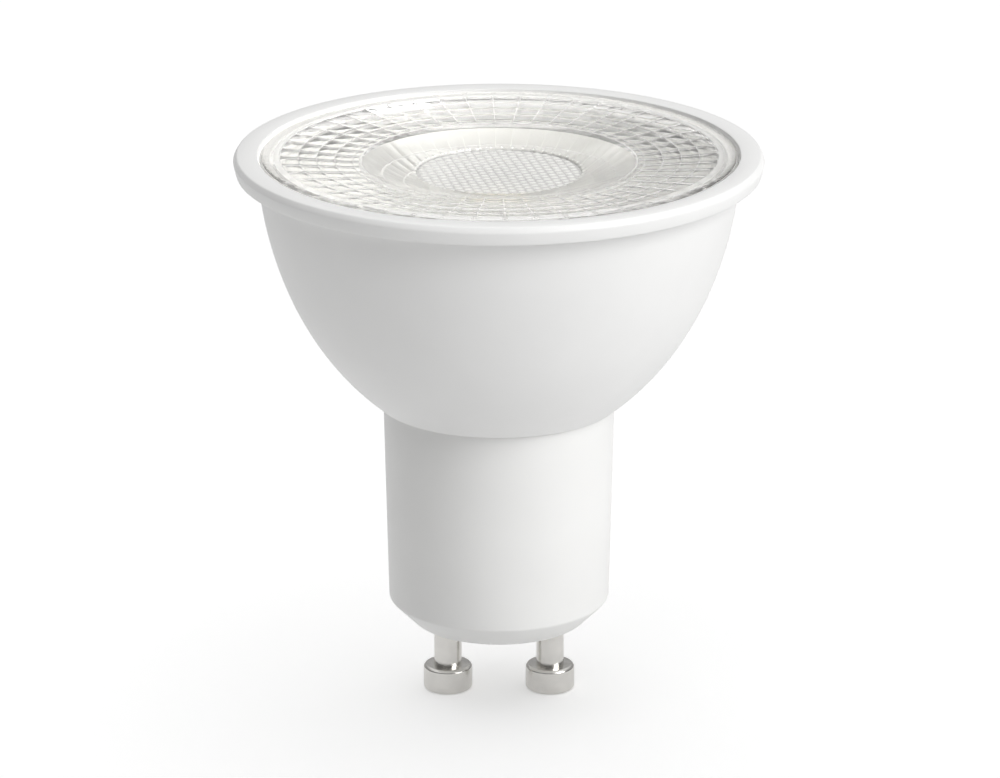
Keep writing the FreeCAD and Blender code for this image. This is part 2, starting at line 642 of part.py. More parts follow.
def make_neck_housing():
    """The neck with its bevelled base, pin bosses, board rails and slotted snap spigot."""
    wall = s("neck_wall")
    slant = wall * math.sqrt(2)
    inner_top = neck_top - wall
    inner_spigot = spigot_radius - s("spigot_wall")
    bead = s("snap_bead")
    flat = neck_bottom - s("base_bevel")
    body = new_body("neck_housing")
    turned(body, "neck_section", [
        (0, base_level),
        (flat, base_level),
        (neck_bottom, bevel_level),
        (neck_top, shoulder_level),
        (spigot_radius, shoulder_level),
        (spigot_radius, land_level + s("hole_clearance")),
        (spigot_radius + bead, land_level + s("hole_clearance")),
        (spigot_radius + bead, land_level + s("hole_clearance") + bead),
        (spigot_radius, spigot_level),
        (inner_spigot, spigot_level),
        (inner_spigot, shoulder_level),
        (inner_top, shoulder_level - wall),
        (neck_bore, bevel_level - wall + slant),
        (flat + s("base_thickness") - slant, floor_level),
        (0, floor_level),
    ])
    boss = new_sketch(body, "boss_outline", "XY_Plane", floor_level)
    for side in (-1, 1):
        add_circle(boss, s("pin_spacing") * (side / 2), 0, s("pin_boss_radius"))
    padded(body, "pin_bosses", boss, s("pin_boss_height"))
    slot_half = s("driver_thickness") / 2 + s("driver_play")
    rail_half = slot_half + s("rail_wall")
    rail_height = shoulder_level - s("rail_top_gap") - floor_level
    rail_end = inner_top + s("rail_top_gap") / 2
    rails = new_sketch(body, "rail_outline", "XY_Plane", floor_level)
    for side in (-1, 1):
        add_box(rails, rail_face * side, -rail_half, rail_end * side, rail_half)
    padded(body, "board_rails", rails, rail_height)
    slots = new_sketch(body, "slot_outline", "XY_Plane", floor_level + rail_height)
    slot_end = driver_width / 2 + s("driver_play")
    for side in (-1, 1):
        add_box(slots, (rail_face - wall) * side, -slot_half, slot_end * side, slot_half)
    cut_down(body, "board_slots", slots, floor_level + rail_height - driver_level)
    flex = new_sketch(body, "flex_outline", "XY_Plane", spigot_level)
    half = s("snap_slot_width") / 2
    add_box(flex, -half, spigot_radius - s("spigot_wall") * 2, half, spigot_radius + bead * 2)
    flex_slot = cut_down(body, "flex_slot", flex, s("snap_slot_depth"))
    polar(body, "flex_slots", [flex_slot], s("snap_slot_count"))
    holes = new_sketch(body, "pin_hole_outline", "XY_Plane", floor_level)
    for side in (-1, 1):
        add_circle(holes, s("pin_spacing") * (side / 2), 0, s("pin_shank_radius") + s("hole_clearance"))
    cut_down(body, "pin_holes", holes)
    return body


def make_contact_pin(name, side):
    """One stepped pin, riveted over inside the base and bored for its lead."""
    edge = s("pin_foot_edge")
    foot = s("pin_foot_radius")
    body = new_body(name)
    turned(body, name + "_section", [
        (0, 0),
        (foot - edge, 0),
        (foot, edge),
        (foot, s("pin_foot_height") - edge),
        (foot - edge, s("pin_foot_height")),
        (s("pin_shank_radius"), s("pin_foot_height")),
        (s("pin_shank_radius"), rivet_level),
        (s("pin_rivet_radius"), rivet_level),
        (s("pin_rivet_radius"), rivet_top),
        (s("pin_bore_radius"), rivet_top),
        (s("pin_bore_radius"), rivet_top - s("pin_bore_depth")),
        (0, rivet_top - s("pin_bore_depth")),
    ])
    place(body, x=s("pin_spacing") * (side / 2))
    return body


# Lens

def make_lens():
    """The clear lens: bordered plate, polar grid of facets, dish, and fluted collimator."""
    ledge_inside = on_arc(upper_arc - s("cup_wall"), seat_level, upper_x, upper_level) - s("lens_gap") * 2
    edge = s("lens_edge_round")
    dish_level = rim_level - s("dish_rim_drop")
    disc_level = dish_level - s("dish_depth")
    row_width = (facet_outer - facet_inner) / s("facet_rows")
    corners = [
        (0, disc_level),
        (0, plate_level),
        (ledge_inside, plate_level),
        (ledge_inside, seat_level),
        (border_radius, seat_level),
        (border_radius, lens_level - edge, edge, "left"),
        (border_radius - edge, lens_level),
        (facet_outer, lens_level),
    ]
    fall = (lens_level - dish_level) / s("facet_rows")
    for row in range(int(s("facet_rows").value)):
        outer = facet_outer - row_width * row
        top = lens_level - fall * row
        corners.append((outer, top - s("facet_step")))
        corners.append((outer - row_width, top - fall + s("facet_step") / 2))
    corners.append((facet_inner, dish_level))
    corners.append((s("dish_radius"), dish_level))
    corners.append((s("disc_radius"), disc_level))
    plate = new_body("lens_plate")
    turned(plate, "plate_section", corners)
    ends = []
    for name, reach, level in (
        ("groove_outer_end", facet_outer, lens_level),
        ("groove_inner_end", facet_inner, dish_level),
    ):
        sketch = new_sketch(plate, name, "YZ_Plane", reach)
        half = s("facet_groove_width") / 2
        lift = s("facet_step") * 2
        add_loop(sketch, [
            (0, level - s("facet_step") - s("facet_groove_depth")),
            (half + lift, level + lift),
            (-half - lift, level + lift),
        ])
        ends.append(sketch)
    groove = feature(plate, "PartDesign::SubtractiveLoft", "facet_groove", ends[0])
    groove.Sections = [ends[1]]
    groove.Ruled = True
    polar(plate, "facet_grooves", [groove], s("facet_sectors"))

    tiers = make_collimator_tiers()
    solid = boolean("Part::MultiFuse", "lens_solid", [plate, *tiers])
    cavity = new_body("lens_cavity")
    dome = s("cavity_dome")
    dome_radius = cavity_radius - s("cavity_narrowing")
    dome_arc = (dome_radius * dome_radius + dome * dome) / (dome * 2)
    turned(cavity, "cavity_section", [
        (0, foot_level - s("lens_air")),
        (cavity_radius, foot_level - s("lens_air")),
        (cavity_radius, foot_level),
        (dome_radius, foot_level + s("cavity_height"), dome_arc, "left"),
        (0, foot_level + s("cavity_height") + dome),
    ])
    return boolean("Part::Cut", "lens", [solid, cavity])


def make_collimator_tiers():
    """Tiers of flat flutes that step down from the plate to the foot."""
    tiers = []
    tier_count = int(s("collimator_tiers").value)
    spread = s("dish_radius") + s("collimator_ledge") - foot_radius
    for tier in range(tier_count):
        rings = []
        for end in (0, 1):
            share = (tier + end) / tier_count
            bulge = s("collimator_bulge") * (4 * share * (1 - share))
            radius = foot_radius + spread * share + bulge
            if end == 1 and tier < tier_count - 1:
                radius = radius - s("collimator_step")
            ring = doc.addObject("Part::RegularPolygon", f"flute_ring_{tier}_{end}")
            ring.setExpression("Polygon", s("facet_sectors").formula)
            ring.setExpression("Circumradius", radius.formula)
            place(ring, z=foot_level + s("collimator_height") * share)
            rings.append(ring)
        flutes = doc.addObject("Part::Loft", f"flute_tier_{tier}")
        flutes.Sections = rings
        flutes.Solid = True
        flutes.Ruled = True
        tiers.append(flutes)
    return tiers


# Light source

def drill(body, name, screws, leads):
    """The screw holes and the lead hole that run through a flat piece."""
    sketch = new_sketch(body, name, "XY_Plane", spreader_level)
    for side in (-1, 1):
        add_circle(sketch, screw_place * side, 0, screws)
    add_circle(sketch, 0, lead_hole_place, leads)
    return cut_down(body, name + "_cut", sketch)


def make_heat_spreader():
    """A drawn aluminium cup that lies against the inside of the bowl."""
    outside = upper_arc - s("cup_wall") - s("spreader_gap")
    inside = outside - s("spreader_wall")
    top = plate_level - s("skirt_gap")
    body = new_body("heat_spreader")
    turned(body, "spreader_section", [
        (0, spreader_under),
        (on_arc(outside, spreader_under, upper_x, upper_level), spreader_under, outside, "left"),
        (on_arc(outside, top, upper_x, upper_level), top),
        (on_arc(inside, top, upper_x, upper_level), top, inside, "right"),
        (on_arc(inside, spreader_level, upper_x, upper_level), spreader_level),
        (0, spreader_level),
    ])
    drill(body, "spreader_holes", s("screw_radius") + s("hole_clearance"), lead_hole_radius)
    return body


def make_disc(name, radius, level, thickness):
    """A flat round piece with the two screw holes and the lead hole."""
    body = new_body(name)
    sketch = new_sketch(body, name + "_outline", "XY_Plane", level)
    add_circle(sketch, 0, 0, radius)
    padded(body, name + "_disc", sketch, thickness)
    drill(body, name + "_holes", s("screw_radius") + s("hole_clearance") * 2, lead_hole_radius)
    return body


def make_led_packages():
    """One package in the middle and a ring of packages about it."""
    spots = [(0, 0)]
    count = int(s("led_ring_count").value)
    for turn in range(count):
        angle = 2 * math.pi * turn / count
        spots.append((led_ring_radius * math.cos(angle), led_ring_radius * math.sin(angle)))
    packages = []
    for number, (x, y) in enumerate(spots):
        packages.append(box(
            f"led_package_{number}",
            as_size(x) - s("led_length") / 2, as_size(y) - s("led_width") / 2, board_level,
            s("led_length"), s("led_width"), s("led_height"),
        ))
    return boolean("Part::Compound", "led_packages", packages)


def make_board_screws():
    """Two pan-head screws with cross recesses, one each side of the axis."""
    screws = []
    for number, side in enumerate((-1, 1)):
        name = f"board_screw_{number}"
        body = new_body(name)
        top = board_level + s("screw_head_height")
        turned(body, name + "_section", [
            (0, board_level - s("screw_length")),
            (s("screw_radius") / 2, board_level - s("screw_length")),
            (s("screw_radius"), board_level - s("screw_length") + s("screw_radius") / 2),
            (s("screw_radius"), board_level),
            (s("screw_head_radius"), board_level),
            (s("screw_head_radius"), board_level + s("screw_head_height") / 2),
            (s("screw_head_radius") - s("screw_head_height") / 2, top),
            (0, top),
        ])
        recess = new_sketch(body, name + "_recess_outline", "XY_Plane", top)
        arm = s("screw_socket_reach") / 2
        half = s("screw_socket_width") / 2
        add_loop(recess, [
            (-arm, -half), (-half, -half), (-half, -arm), (half, -arm), (half, -half), (arm, -half),
            (arm, half), (half, half), (half, arm), (-half, arm), (-half, half), (-arm, half),
        ])
        cut_down(body, name + "_recess", recess, s("screw_socket_depth"))
        place(body, x=screw_place * side)
        screws.append(body)
    return boolean("Part::Compound", "board_screws", screws)


# Driver

def make_driver_cap():
    """An insulating cap that stands on the spigot and keeps the driver off the aluminium."""
    wall = s("cap_wall")
    flare_level = spigot_level + s("cap_flare_height")
    body = new_body("driver_cap")
    turned(body, "cap_section", [
        (spigot_radius - wall, spigot_level),
        (spigot_radius, spigot_level),
        (cap_radius, flare_level),
        (cap_radius, cap_level),
        (0, cap_level),
        (0, cap_level - wall),
        (cap_radius - wall, cap_level - wall),
        (cap_radius - wall, flare_level),
    ])
    sketch = new_sketch(body, "cap_hole", "XY_Plane", cap_level)
    add_circle(sketch, 0, lead_hole_place, cap_hole_radius)
    cut_down(body, "cap_hole_cut", sketch, wall * 2)
    return body


board_front = s("driver_thickness") / 2
face_gap = board_front + s("part_gap")


def chip(name, x, z, width, length, height, side):
    """A flat component on the front (side 1) or back (side -1) of the driver board, centred at x."""
    near = face_gap if side > 0 else -face_gap - height
    return box(name, as_size(x) - width / 2, near, driver_level + z, width, height, length)


def make_can(name, radius, length, lift, side):
    """A round capacitor that lies along the driver board, with its two wires bent to it."""
    crimp = radius / 8
    can = new_body(name + "_can")
    turned(can, name + "_section", [
        (0, 0),
        (radius - crimp, 0),
        (radius, crimp),
        (radius, crimp * 3),
        (radius - crimp, crimp * 4),
        (radius, crimp * 5),
        (radius, length - crimp),
        (radius - crimp, length),
        (radius / 2, length),
        (radius / 2 - crimp / 2, length - crimp / 2),
        (0, length - crimp / 2),
    ])
    axis_y = (face_gap + radius) * side
    place(can, y=axis_y, z=driver_level + lift)
    shapes = [can]
    for wire in (-1, 1):
        x = radius / 2 * wire
        top = driver_level + lift
        low = top - s("terminal_radius") * 6
        points = [(x, axis_y, top), (x, axis_y, low), (x, face_gap * side, low)]
        wire_name = f"{name}_wire_{'left' if wire < 0 else 'right'}"
        shapes.append(make_lead(wire_name, points, s("terminal_radius")))
    return boolean("Part::MultiFuse", name, shapes)


def make_lead(name, points, radius):
    """A round wire of straight runs joined by tangent arcs."""
    points = [FreeCAD.Vector(*(as_size(part).value for part in point)) for point in points]
    radius = radius.value
    edges = []
    start = points[0]
    for before, corner, after in zip(points, points[1:], points[2:]):
        back = before - corner
        onward = after - corner
        turn = math.pi - back.getAngle(onward)
        reach = 0.45 * min(back.Length, onward.Length)
        back.normalize()
        onward.normalize()
        bisector = back + onward
        bisector.normalize()
        bend = reach / math.tan(turn / 2)
        centre = corner + bisector * (bend / math.cos(turn / 2))
        first = corner + back * reach
        last = corner + onward * reach
        edges.append(Part.LineSegment(start, first).toShape())
        edges.append(Part.Arc(first, centre - bisector * bend, last).toShape())
        start = last
    edges.append(Part.LineSegment(start, points[-1]).toShape())
    route = Part.Wire(edges)
    direction = points[1] - points[0]
    section = Part.Wire([Part.Circle(points[0], direction, radius).toShape()])
    tube = route.makePipeShell([section], True, False)
    expected = math.pi * radius ** 2 * route.Length
    if abs(tube.Volume - expected) > 0.01 * expected:
        raise RuntimeError(f"{name} has the wrong volume")
    item = doc.addObject("Part::Feature", name)
    item.Label = name
    item.Shape = tube
    return item


def make_driver_board():
    body = new_body("driver_board")
    sketch = new_sketch(body, "driver_outline", "XY_Plane", driver_level)
    half_width = driver_width / 2
    add_box(sketch, -half_width, -board_front, half_width, board_front)
    padded(body, "driver_panel", sketch, driver_height)
    return body


def make_transformer():
    """A ferrite core round a wound bobbin whose axis stands upright."""
    limb = s("core_limb")
    bottom = driver_level + s("core_lift")
    depth = s("core_depth")
    core = new_body("transformer_core")
    outline = new_sketch(core, "core_outline", "XZ_Plane", face_gap)
    half = s("core_width") / 2
    add_box(outline, -half, bottom, half, bottom + s("core_height"))
    add_box(outline, limb - half, bottom + limb, half - limb, bottom + s("core_height") - limb)
    padded(core, "core_frame", outline, depth)
    bobbin = new_body("transformer_winding")
    flange = s("bobbin_flange")
    low = limb + s("part_gap")
    high = s("core_height") - limb - s("part_gap")
    wide = half - limb - s("part_gap")
    turned(bobbin, "bobbin_section", [
        (0, low),
        (wide, low),
        (wide, low + flange),
        (s("bobbin_radius"), low + flange),
        (s("bobbin_radius"), high - flange),
        (wide, high - flange),
        (wide, high),
        (0, high),
    ])
    place(bobbin, y=-(face_gap + depth / 2), z=bottom)
    return core, bobbin


def make_fuse_resistor():
    """A round resistor with swollen ends, standing along the driver board."""
    radius = s("fuse_radius")
    length = s("fuse_length")
    waist = radius - radius / 6
    body = new_body("fuse_resistor")
    turned(body, "fuse_section", [
        (0, 0),
        (waist, 0),
        (radius, radius / 3),
        (radius, radius),
        (waist, radius * 4 / 3),
        (waist, length - radius * 4 / 3),
        (radius, length - radius),
        (radius, length - radius / 3),
        (waist, length),
        (0, length),
    ])
    place(body, x=-fuse_place, y=face_gap + radius, z=driver_level + s("fuse_lift"))
    return body


def make_chip_resistors():
    chips = []
    for row in range(int(s("resistor_rows").value)):
        for side in (-1, 1):
            lift = resistor_lift + resistor_pitch * row
            chips.append(chip(
                f"chip_resistor_{row}_{'left' if side < 0 else 'right'}", chip_place * side, lift,
                s("resistor_length"), s("resistor_width"), s("resistor_height"), -1,
            ))
    return boolean("Part::Compound", "chip_resistors", chips)


def make_chip_capacitors():
    chips = []
    for row in range(int(s("ceramic_rows").value)):
        for side in (-1, 1):
            lift = ceramic_lift + ceramic_pitch * row
            chips.append(chip(
                f"chip_capacitor_{row}_{'left' if side < 0 else 'right'}", chip_place * side, lift,
                s("ceramic_length"), s("ceramic_width"), s("ceramic_height"), 1,
            ))
    return boolean("Part::Compound", "chip_capacitors", chips)


# Leads

def make_pin_lead(name, side):
    """A lead from the bore of a pin to the front of the driver board."""
    x = s("pin_spacing") / 2 * side
    joint = driver_level + s("pin_lead_joint")
    out = face_gap + s("pin_lead_reach")
    return make_lead(name, [
        (x, 0, rivet_top - s("pin_bore_depth") + s("pin_lead_seat")),
        (x, 0, driver_level - s("pin_lead_dip")),
        (x, out, driver_level + s("pin_lead_bend")),
        (x, out, joint),
        (x, face_gap, joint),
    ], s("lead_radius"))


def make_led_lead(name, side):
    """A lead from the driver board, through the cap and the boards, to its pad beside the LEDs."""
    x = s("lead_spread") * side
    joint = cap_level - s("led_lead_root")
    top = board_level + s("led_lead_rise")
    landing = lead_hole_place + s("led_lead_landing")
    return make_lead(name, [
        (x, face_gap, joint),
        (x, face_gap + s("led_lead_out"), joint),
        (x, face_gap + s("led_lead_lean"), cap_level - s("led_lead_middle")),
        (x, lead_hole_place, cap_level - s("led_lead_bend")),
        (x, lead_hole_place, top),
        (x, landing, top),
        (x, landing, board_level + s("part_gap")),
    ], s("lead_radius"))


core, winding = make_transformer()
NODES = (
    make_lamp_cup(),
    make_neck_housing(),
    make_contact_pin("contact_pin_left", -1),
    make_contact_pin("contact_pin_right", 1),
    make_lens(),
    make_heat_spreader(),
    make_disc("thermal_pad", board_radius - s("pad_inset"), spreader_level, s("pad_thickness")),
    make_disc("led_board", board_radius, pad_level, s("board_thickness")),
    make_led_packages(),
    make_board_screws(),
    make_driver_cap(),
    make_driver_board(),
    make_can("bulk_capacitor", s("bulk_radius"), s("bulk_length"), s("bulk_lift"), 1),
    make_can("output_capacitor", s("output_radius"), s("output_length"), output_lift, -1),
    core,
    winding,
    make_fuse_resistor(),
    chip(
        "film_capacitor", s("bulk_radius") + s("film_gap") + s("film_width") / 2, s("film_lift"),
        s("film_width"), s("film_height"), s("film_depth"), 1,
    ),
    chip(
        "bridge_rectifier", -chip_place, s("chip_lift"),
        s("bridge_width"), s("bridge_length"), s("bridge_height"), -1,
    ),
    chip("driver_ic", chip_place, s("chip_lift"), s("ic_width"), s("ic_length"), s("ic_height"), -1),
    chip(
        "freewheel_diode", chip_place, diode_lift,
        s("diode_width"), s("diode_length"), s("diode_height"), -1,
    ),
    make_chip_resistors(),
    make_chip_capacitors(),
    make_pin_lead("pin_lead_left", -1),
    make_pin_lead("pin_lead_right", 1),
    make_led_lead("led_lead_positive", 1),
    make_led_lead("led_lead_negative", -1),
)

doc.recompute()
for item in doc.Objects:
    if "Invalid" in item.State or "Error" in item.State:
        raise RuntimeError(f"{item.Label} failed: {item.State}")
for node in NODES:
    if node.Shape.isNull() or not node.Shape.isValid():
        raise RuntimeError(f"{node.Label} has no valid shape")

os.makedirs("parts", exist_ok=True)
for node in NODES:
    node.Shape.exportStep(f"parts/{node.Label}.step")
    print(f"{node.Label}: {len(node.Shape.Solids)} solids, {node.Shape.Volume:.1f} mm3")
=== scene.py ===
import math

import bmesh
import bpy
from bpy.props import FloatProperty, FloatVectorProperty, IntProperty, PointerProperty
from mathutils import Matrix, Vector
from mathutils.geometry import interpolate_bezier


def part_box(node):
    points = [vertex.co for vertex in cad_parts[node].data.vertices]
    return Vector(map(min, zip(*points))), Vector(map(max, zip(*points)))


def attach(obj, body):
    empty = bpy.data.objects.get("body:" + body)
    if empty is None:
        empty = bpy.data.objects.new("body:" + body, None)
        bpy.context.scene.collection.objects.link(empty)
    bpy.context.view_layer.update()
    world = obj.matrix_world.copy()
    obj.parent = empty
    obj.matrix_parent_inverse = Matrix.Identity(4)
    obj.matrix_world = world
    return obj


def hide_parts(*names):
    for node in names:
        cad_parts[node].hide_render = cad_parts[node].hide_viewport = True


bl_info = {
    "name": "Spotlight Bulb",
    "version": (1, 0, 0),
    "blender": (4, 5, 0),
    "location": "3D View > Sidebar > Bulb",
    "description": "Builds the looks of a GU10 spotlight bulb round its packed solids",
    "category": "Object",
}

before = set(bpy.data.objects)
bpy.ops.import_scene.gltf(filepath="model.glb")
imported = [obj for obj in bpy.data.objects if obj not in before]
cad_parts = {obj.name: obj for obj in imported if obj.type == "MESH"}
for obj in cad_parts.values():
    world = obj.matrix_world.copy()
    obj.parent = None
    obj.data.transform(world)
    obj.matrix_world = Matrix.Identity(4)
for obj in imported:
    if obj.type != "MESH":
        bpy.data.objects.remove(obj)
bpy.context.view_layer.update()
MM = 0.001
FULL_TURN = 2 * math.pi
CUP_LOW, CUP_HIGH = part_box("lamp_cup")
NECK_LOW, NECK_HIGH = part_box("neck_housing")
LENS_LOW, LENS_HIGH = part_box("lens")
PIN_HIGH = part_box("contact_pin_right")[1]
LED_LOW, LED_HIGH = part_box("led_packages")

# Vertices nearer than these are one: in a spun outline, a CAD node, and a cut disc
SPUN_SEAM, CAD_SEAM, CUT_SEAM = 0.002 * MM, 0.0005 * MM, 0.0001 * MM
# Slack for a height and for a radius that should be equal
NEAR, SAME_RADIUS = 0.01 * MM, 0.001 * MM
# How far the neck's rails reach into its wall and floor, and how far they end below the cup
RAIL_BITE, RAIL_FOOT, RAIL_GAP = 0.03 * MM, 0.2 * MM, 0.06 * MM
# Parts of each curved outline
BOWL_PARTS, DISH_PARTS, DOME_PARTS = 48, 14, 10
# Where vertices lie from one ridge of the lens to the next, and how near to 1 counts as the ridge
CELL_STEPS = (0.0, 0.05, 0.13, 0.28, 0.5, 0.72, 0.87, 0.95)
AT_RIDGE, ROUNDING = 0.99, 1e-4
# How steeply a facet's hollow and the painted shade between lenslets grow towards their edges
HOLLOW_POWER, GROOVE_POWER = 4, 6
# Rise for each step out at both ends of the dish and at the foot of the dome, and how long it holds
DISH_RISES, DISH_PULLS = (0.06, 0.35), (0.4, 0.3)
DOME_RISE, DOME_PULLS = 0.45, (0.35, 0.4)
# Attributes on the meshes: milky ridges (above 0), grooves with painted shade, a grey colour where they
# look dark (below 0), and the place along a loose part
MARKS = "milky_ridges_and_painted_shade"
ALONG = "place_along"
# Material slots of the lens after the first, which is clear
MATT, FROSTED, SATIN, FLUTED = range(1, 5)
# How far back and how far up the room's light begins to grow, and where it is full
BACK_REACH, TOP_REACH = (0.0, 0.8), (0.35, 1.0)
WHITE = (1.0, 1.0, 1.0)


# Sizes and colours

def length(value, description):
    """A distance in metres, given here in millimetres."""
    return FloatProperty(
        description=description, default=value * MM, precision=5, unit="LENGTH", subtype="DISTANCE"
    )


def angle(value, description):
    """An angle, given here in degrees."""
    return FloatProperty(
        description=description, default=math.radians(value), unit="ROTATION", subtype="ANGLE"
    )


def share(value, description):
    """A part of one."""
    return FloatProperty(description=description, default=value, min=0.0, max=1.0, subtype="FACTOR")


def number(value, description):
    """A plain number."""
    return FloatProperty(description=description, default=value)


def count(value, description):
    """A whole number of at least one."""
    return IntProperty(description=description, default=value, min=1)


def colour(value, description):
    """A colour of a finish."""
    return FloatVectorProperty(
        description=description, default=value, size=3, min=0.0, max=1.0, subtype="COLOR"
    )


class BowlShape(bpy.types.PropertyGroup):
    """The cup: bowl and rim in one piece."""

    lip_radius: length(11.6, "Outer radius of the cup's lower edge")
    bore: length(10.25, "Radius of the hole that takes the neck's spigot")
    lip_height: length(1.8, "Height of the land that the snap bead grips")
    mouth_radius: length(22.95, "Outer radius of the bowl under the rim")
    lip_slope: number(1.272, "Run outwards for each step up at the lower edge")
    mouth_slope: number(0.0673, "Run outwards for each step up under the rim")
    lip_pull: length(11.4, "How far the outline holds its direction at the lower edge")
    mouth_pull: length(5.1, "How far the outline holds its direction under the rim")
    wall: length(1.3, "Thickness of the bowl")
    rim_height: length(1.75, "Height of the rim")
    rim_inset: length(0.3, "How far the rim's side lies in at its lower edge")
    bevel_width: length(0.33, "Width of the bevel on the rim")
    bevel_height: length(0.53, "Height of the bevel on the rim")
    opening_radius: length(22.93, "Radius of the opening for the lens")
    seat_depth: length(0.9, "Depth of the ledge that carries the lens")
    land_step: length(0.3, "Width of the slope down to the snap bead's land")
    edge_round: length(0.12, "Radius of the softened edges")
    steps: count(192, "Faces round the cup")


class NeckShape(bpy.types.PropertyGroup):
    """The neck with its bevelled base, bosses, rails and spigot."""

    top_radius: length(11.15, "Radius under the cup")
    bottom_radius: length(10.7, "Radius above the bevel")
    bevel: length(2.27, "Height and width of the bevel round the base")
    floor: length(1.6, "Thickness of the base's floor")
    wall: length(1.3, "Wall of the neck")
    spigot_radius: length(10.2, "Radius of the spigot in the cup")
    spigot_wall: length(1.2, "Wall of the spigot")
    bead: length(0.45, "How far the snap bead stands out")
    bead_lift: length(1.85, "Shoulder to the underside of the snap bead")
    slot_width: length(1.6, "Width of the slots in the spigot")
    slot_depth: length(2.7, "Depth of the slots in the spigot")
    boss_radius: length(3.1, "Radius of the bosses round the pins")
    boss_height: length(3.0, "Height of those bosses")
    rail_depth: length(1.5, "How far the board rails reach in")
    rail_half: length(1.52, "Middle plane to the outside of a rail")
    groove_half: length(0.62, "Middle plane to the side of a rail's groove")
    groove_end: length(8.62, "Axis to the bottom of a rail's groove")
    hole_radius: length(1.4, "Radius of the holes for the pins")
    edge_round: length(0.16, "Radius of the softened edges")
    steps: count(160, "Faces round the neck")


class PinShape(bpy.types.PropertyGroup):
    """One stepped contact pin."""

    spacing: length(10.0, "Distance between the axes of the pins")
    foot_radius: length(2.4, "Radius of the wide foot")
    foot_height: length(2.5, "Height of the wide foot")
    foot_edge: length(0.22, "Bevel on both edges of the foot")
    shank_radius: length(1.35, "Radius of the pin above its foot")
    rivet_radius: length(1.95, "Radius of the head inside the base")
    rivet_height: length(0.6, "Thickness of that head")
    bore_radius: length(0.75, "Radius of the bore for the lead")
    bore_depth: length(3.0, "Depth of that bore")
    edge_round: length(0.07, "Radius of the softened edges")
    steps: count(72, "Faces round a pin")


class LensShape(bpy.types.PropertyGroup):
    """The clear lens with its facets, dish, lenslets and fluted collimator."""

    ledge_inside: length(21.35, "Radius of the plate inside the ledge")
    ledge_height: length(0.75, "Thickness of the border on its ledge")
    edge_round: length(0.45, "Round on the upper edge")
    plate: length(1.8, "Thickness of the plate")
    facet_outer: length(20.8, "Outer radius of the ring of facets")
    facet_inner: length(13.84, "Inner radius of the four wide rows")
    rows: count(4, "Wide rows of facets")
    sectors: count(48, "Facets in one row, and flutes round the collimator")
    facet_sink: length(0.08, "How far a wide facet is hollowed along a spoke")
    spoke_sink: length(0.08, "How far every facet is hollowed between two spokes")
    narrow_sink: length(0.03, "How far a facet of the narrow row is hollowed along a spoke")
    matt_roughness: share(0.015, "Roughness of the plate's matt underside")
    frost_roughness: share(0.5, "Roughness of the frosted cavity over the LEDs")
    disc_roughness: share(0.05, "Roughness of the disc of lenslets")
    flute_roughness: share(0.02, "Roughness of the fluted side")
    # Painted shade: the disc and the flutes are darker copies of the clear plastic, for the grey they show
    disc_tone: share(0.82, "Brightness of the disc of lenslets")
    flute_tone: share(0.88, "Brightness of the fluted side")
    milk: share(0.02, "Milkiness of the polished plastic")
    matt_milk: share(0.06, "Milkiness of the matt underside")
    disc_milk: share(0.7, "Milkiness of the disc of lenslets")
    flute_milk: share(0.35, "Milkiness of the fluted side")
    frost_milk: share(0.3, "Milkiness of the frosted cavity")
    frosted_edge: share(0.6, "Part of the upper edge's round that is frosted")
    ridge_milk: share(0.5, "Milkiness of the ridges between facets")
    flute_ridge_milk: share(0.22, "Milkiness of the ridges between flutes")
    # Painted shade: grey colour laid on the grooves between lenslets and round the disc, where they look
    # dark
    groove_shade: share(0.8, "Grey of the grooves between lenslets")
    edge_shade: share(1.0, "Grey of the groove round the disc")
    turn: angle(1.7, "How far the lens is turned in the cup")
    border_step: length(0.08, "Width of the step from the facets up to the border")
    dish_radius: length(13.2, "Radius of the dish")
    dish_level: length(0.55, "Top of the border down to the edge of the dish")
    dish_depth: length(1.1, "Depth of the dish")
    disc_radius: length(7.95, "Radius of the disc of lenslets")
    disc_step: length(0.25, "Depth of the disc under the dish")
    disc_wall: length(0.06, "Width of the step round the disc")
    lenslet_pitch: length(0.92, "Distance between neighbouring lenslets")
    lenslet_radius: length(1.1, "Radius of curvature of a lenslet")
    lenslet_turn: angle(-20.2, "How far the rows of lenslets are turned")
    lenslet_parts: count(6, "Faces across one lenslet")
    lenslet_fade: length(0.3, "Width of the plain band round the lenslets")
    flute: length(0.1, "Depth of the grooves between the flutes")
    collimator_top: length(13.3, "Radius of the collimator under the plate")
    foot_radius: length(7.4, "Radius of the collimator's foot")
    bulge: length(0.75, "How far the collimator's side bulges out of a cone")
    tier_step: length(0.2, "Step between two tiers of flutes")
    tiers: count(3, "Tiers of flutes")
    cavity_radius: length(6.1, "Radius of the cavity over the LEDs")
    dome_radius: length(5.4, "Radius of the cavity under its dome")
    cavity_height: length(5.4, "Height of the cavity up to its dome")
    dome_height: length(1.1, "Height of the dome")


class PackageShape(bpy.types.PropertyGroup):
    """One LED package."""

    length: length(3.5, "Length of a package")
    width: length(2.8, "Width of a package")
    wall: length(0.42, "Width of the white wall round the phosphor")
    sink: length(0.07, "How far the phosphor lies below the wall")
    ring_radius: length(3.75, "Radius of the ring of outer packages")
    ring_count: count(6, "Packages in that ring")


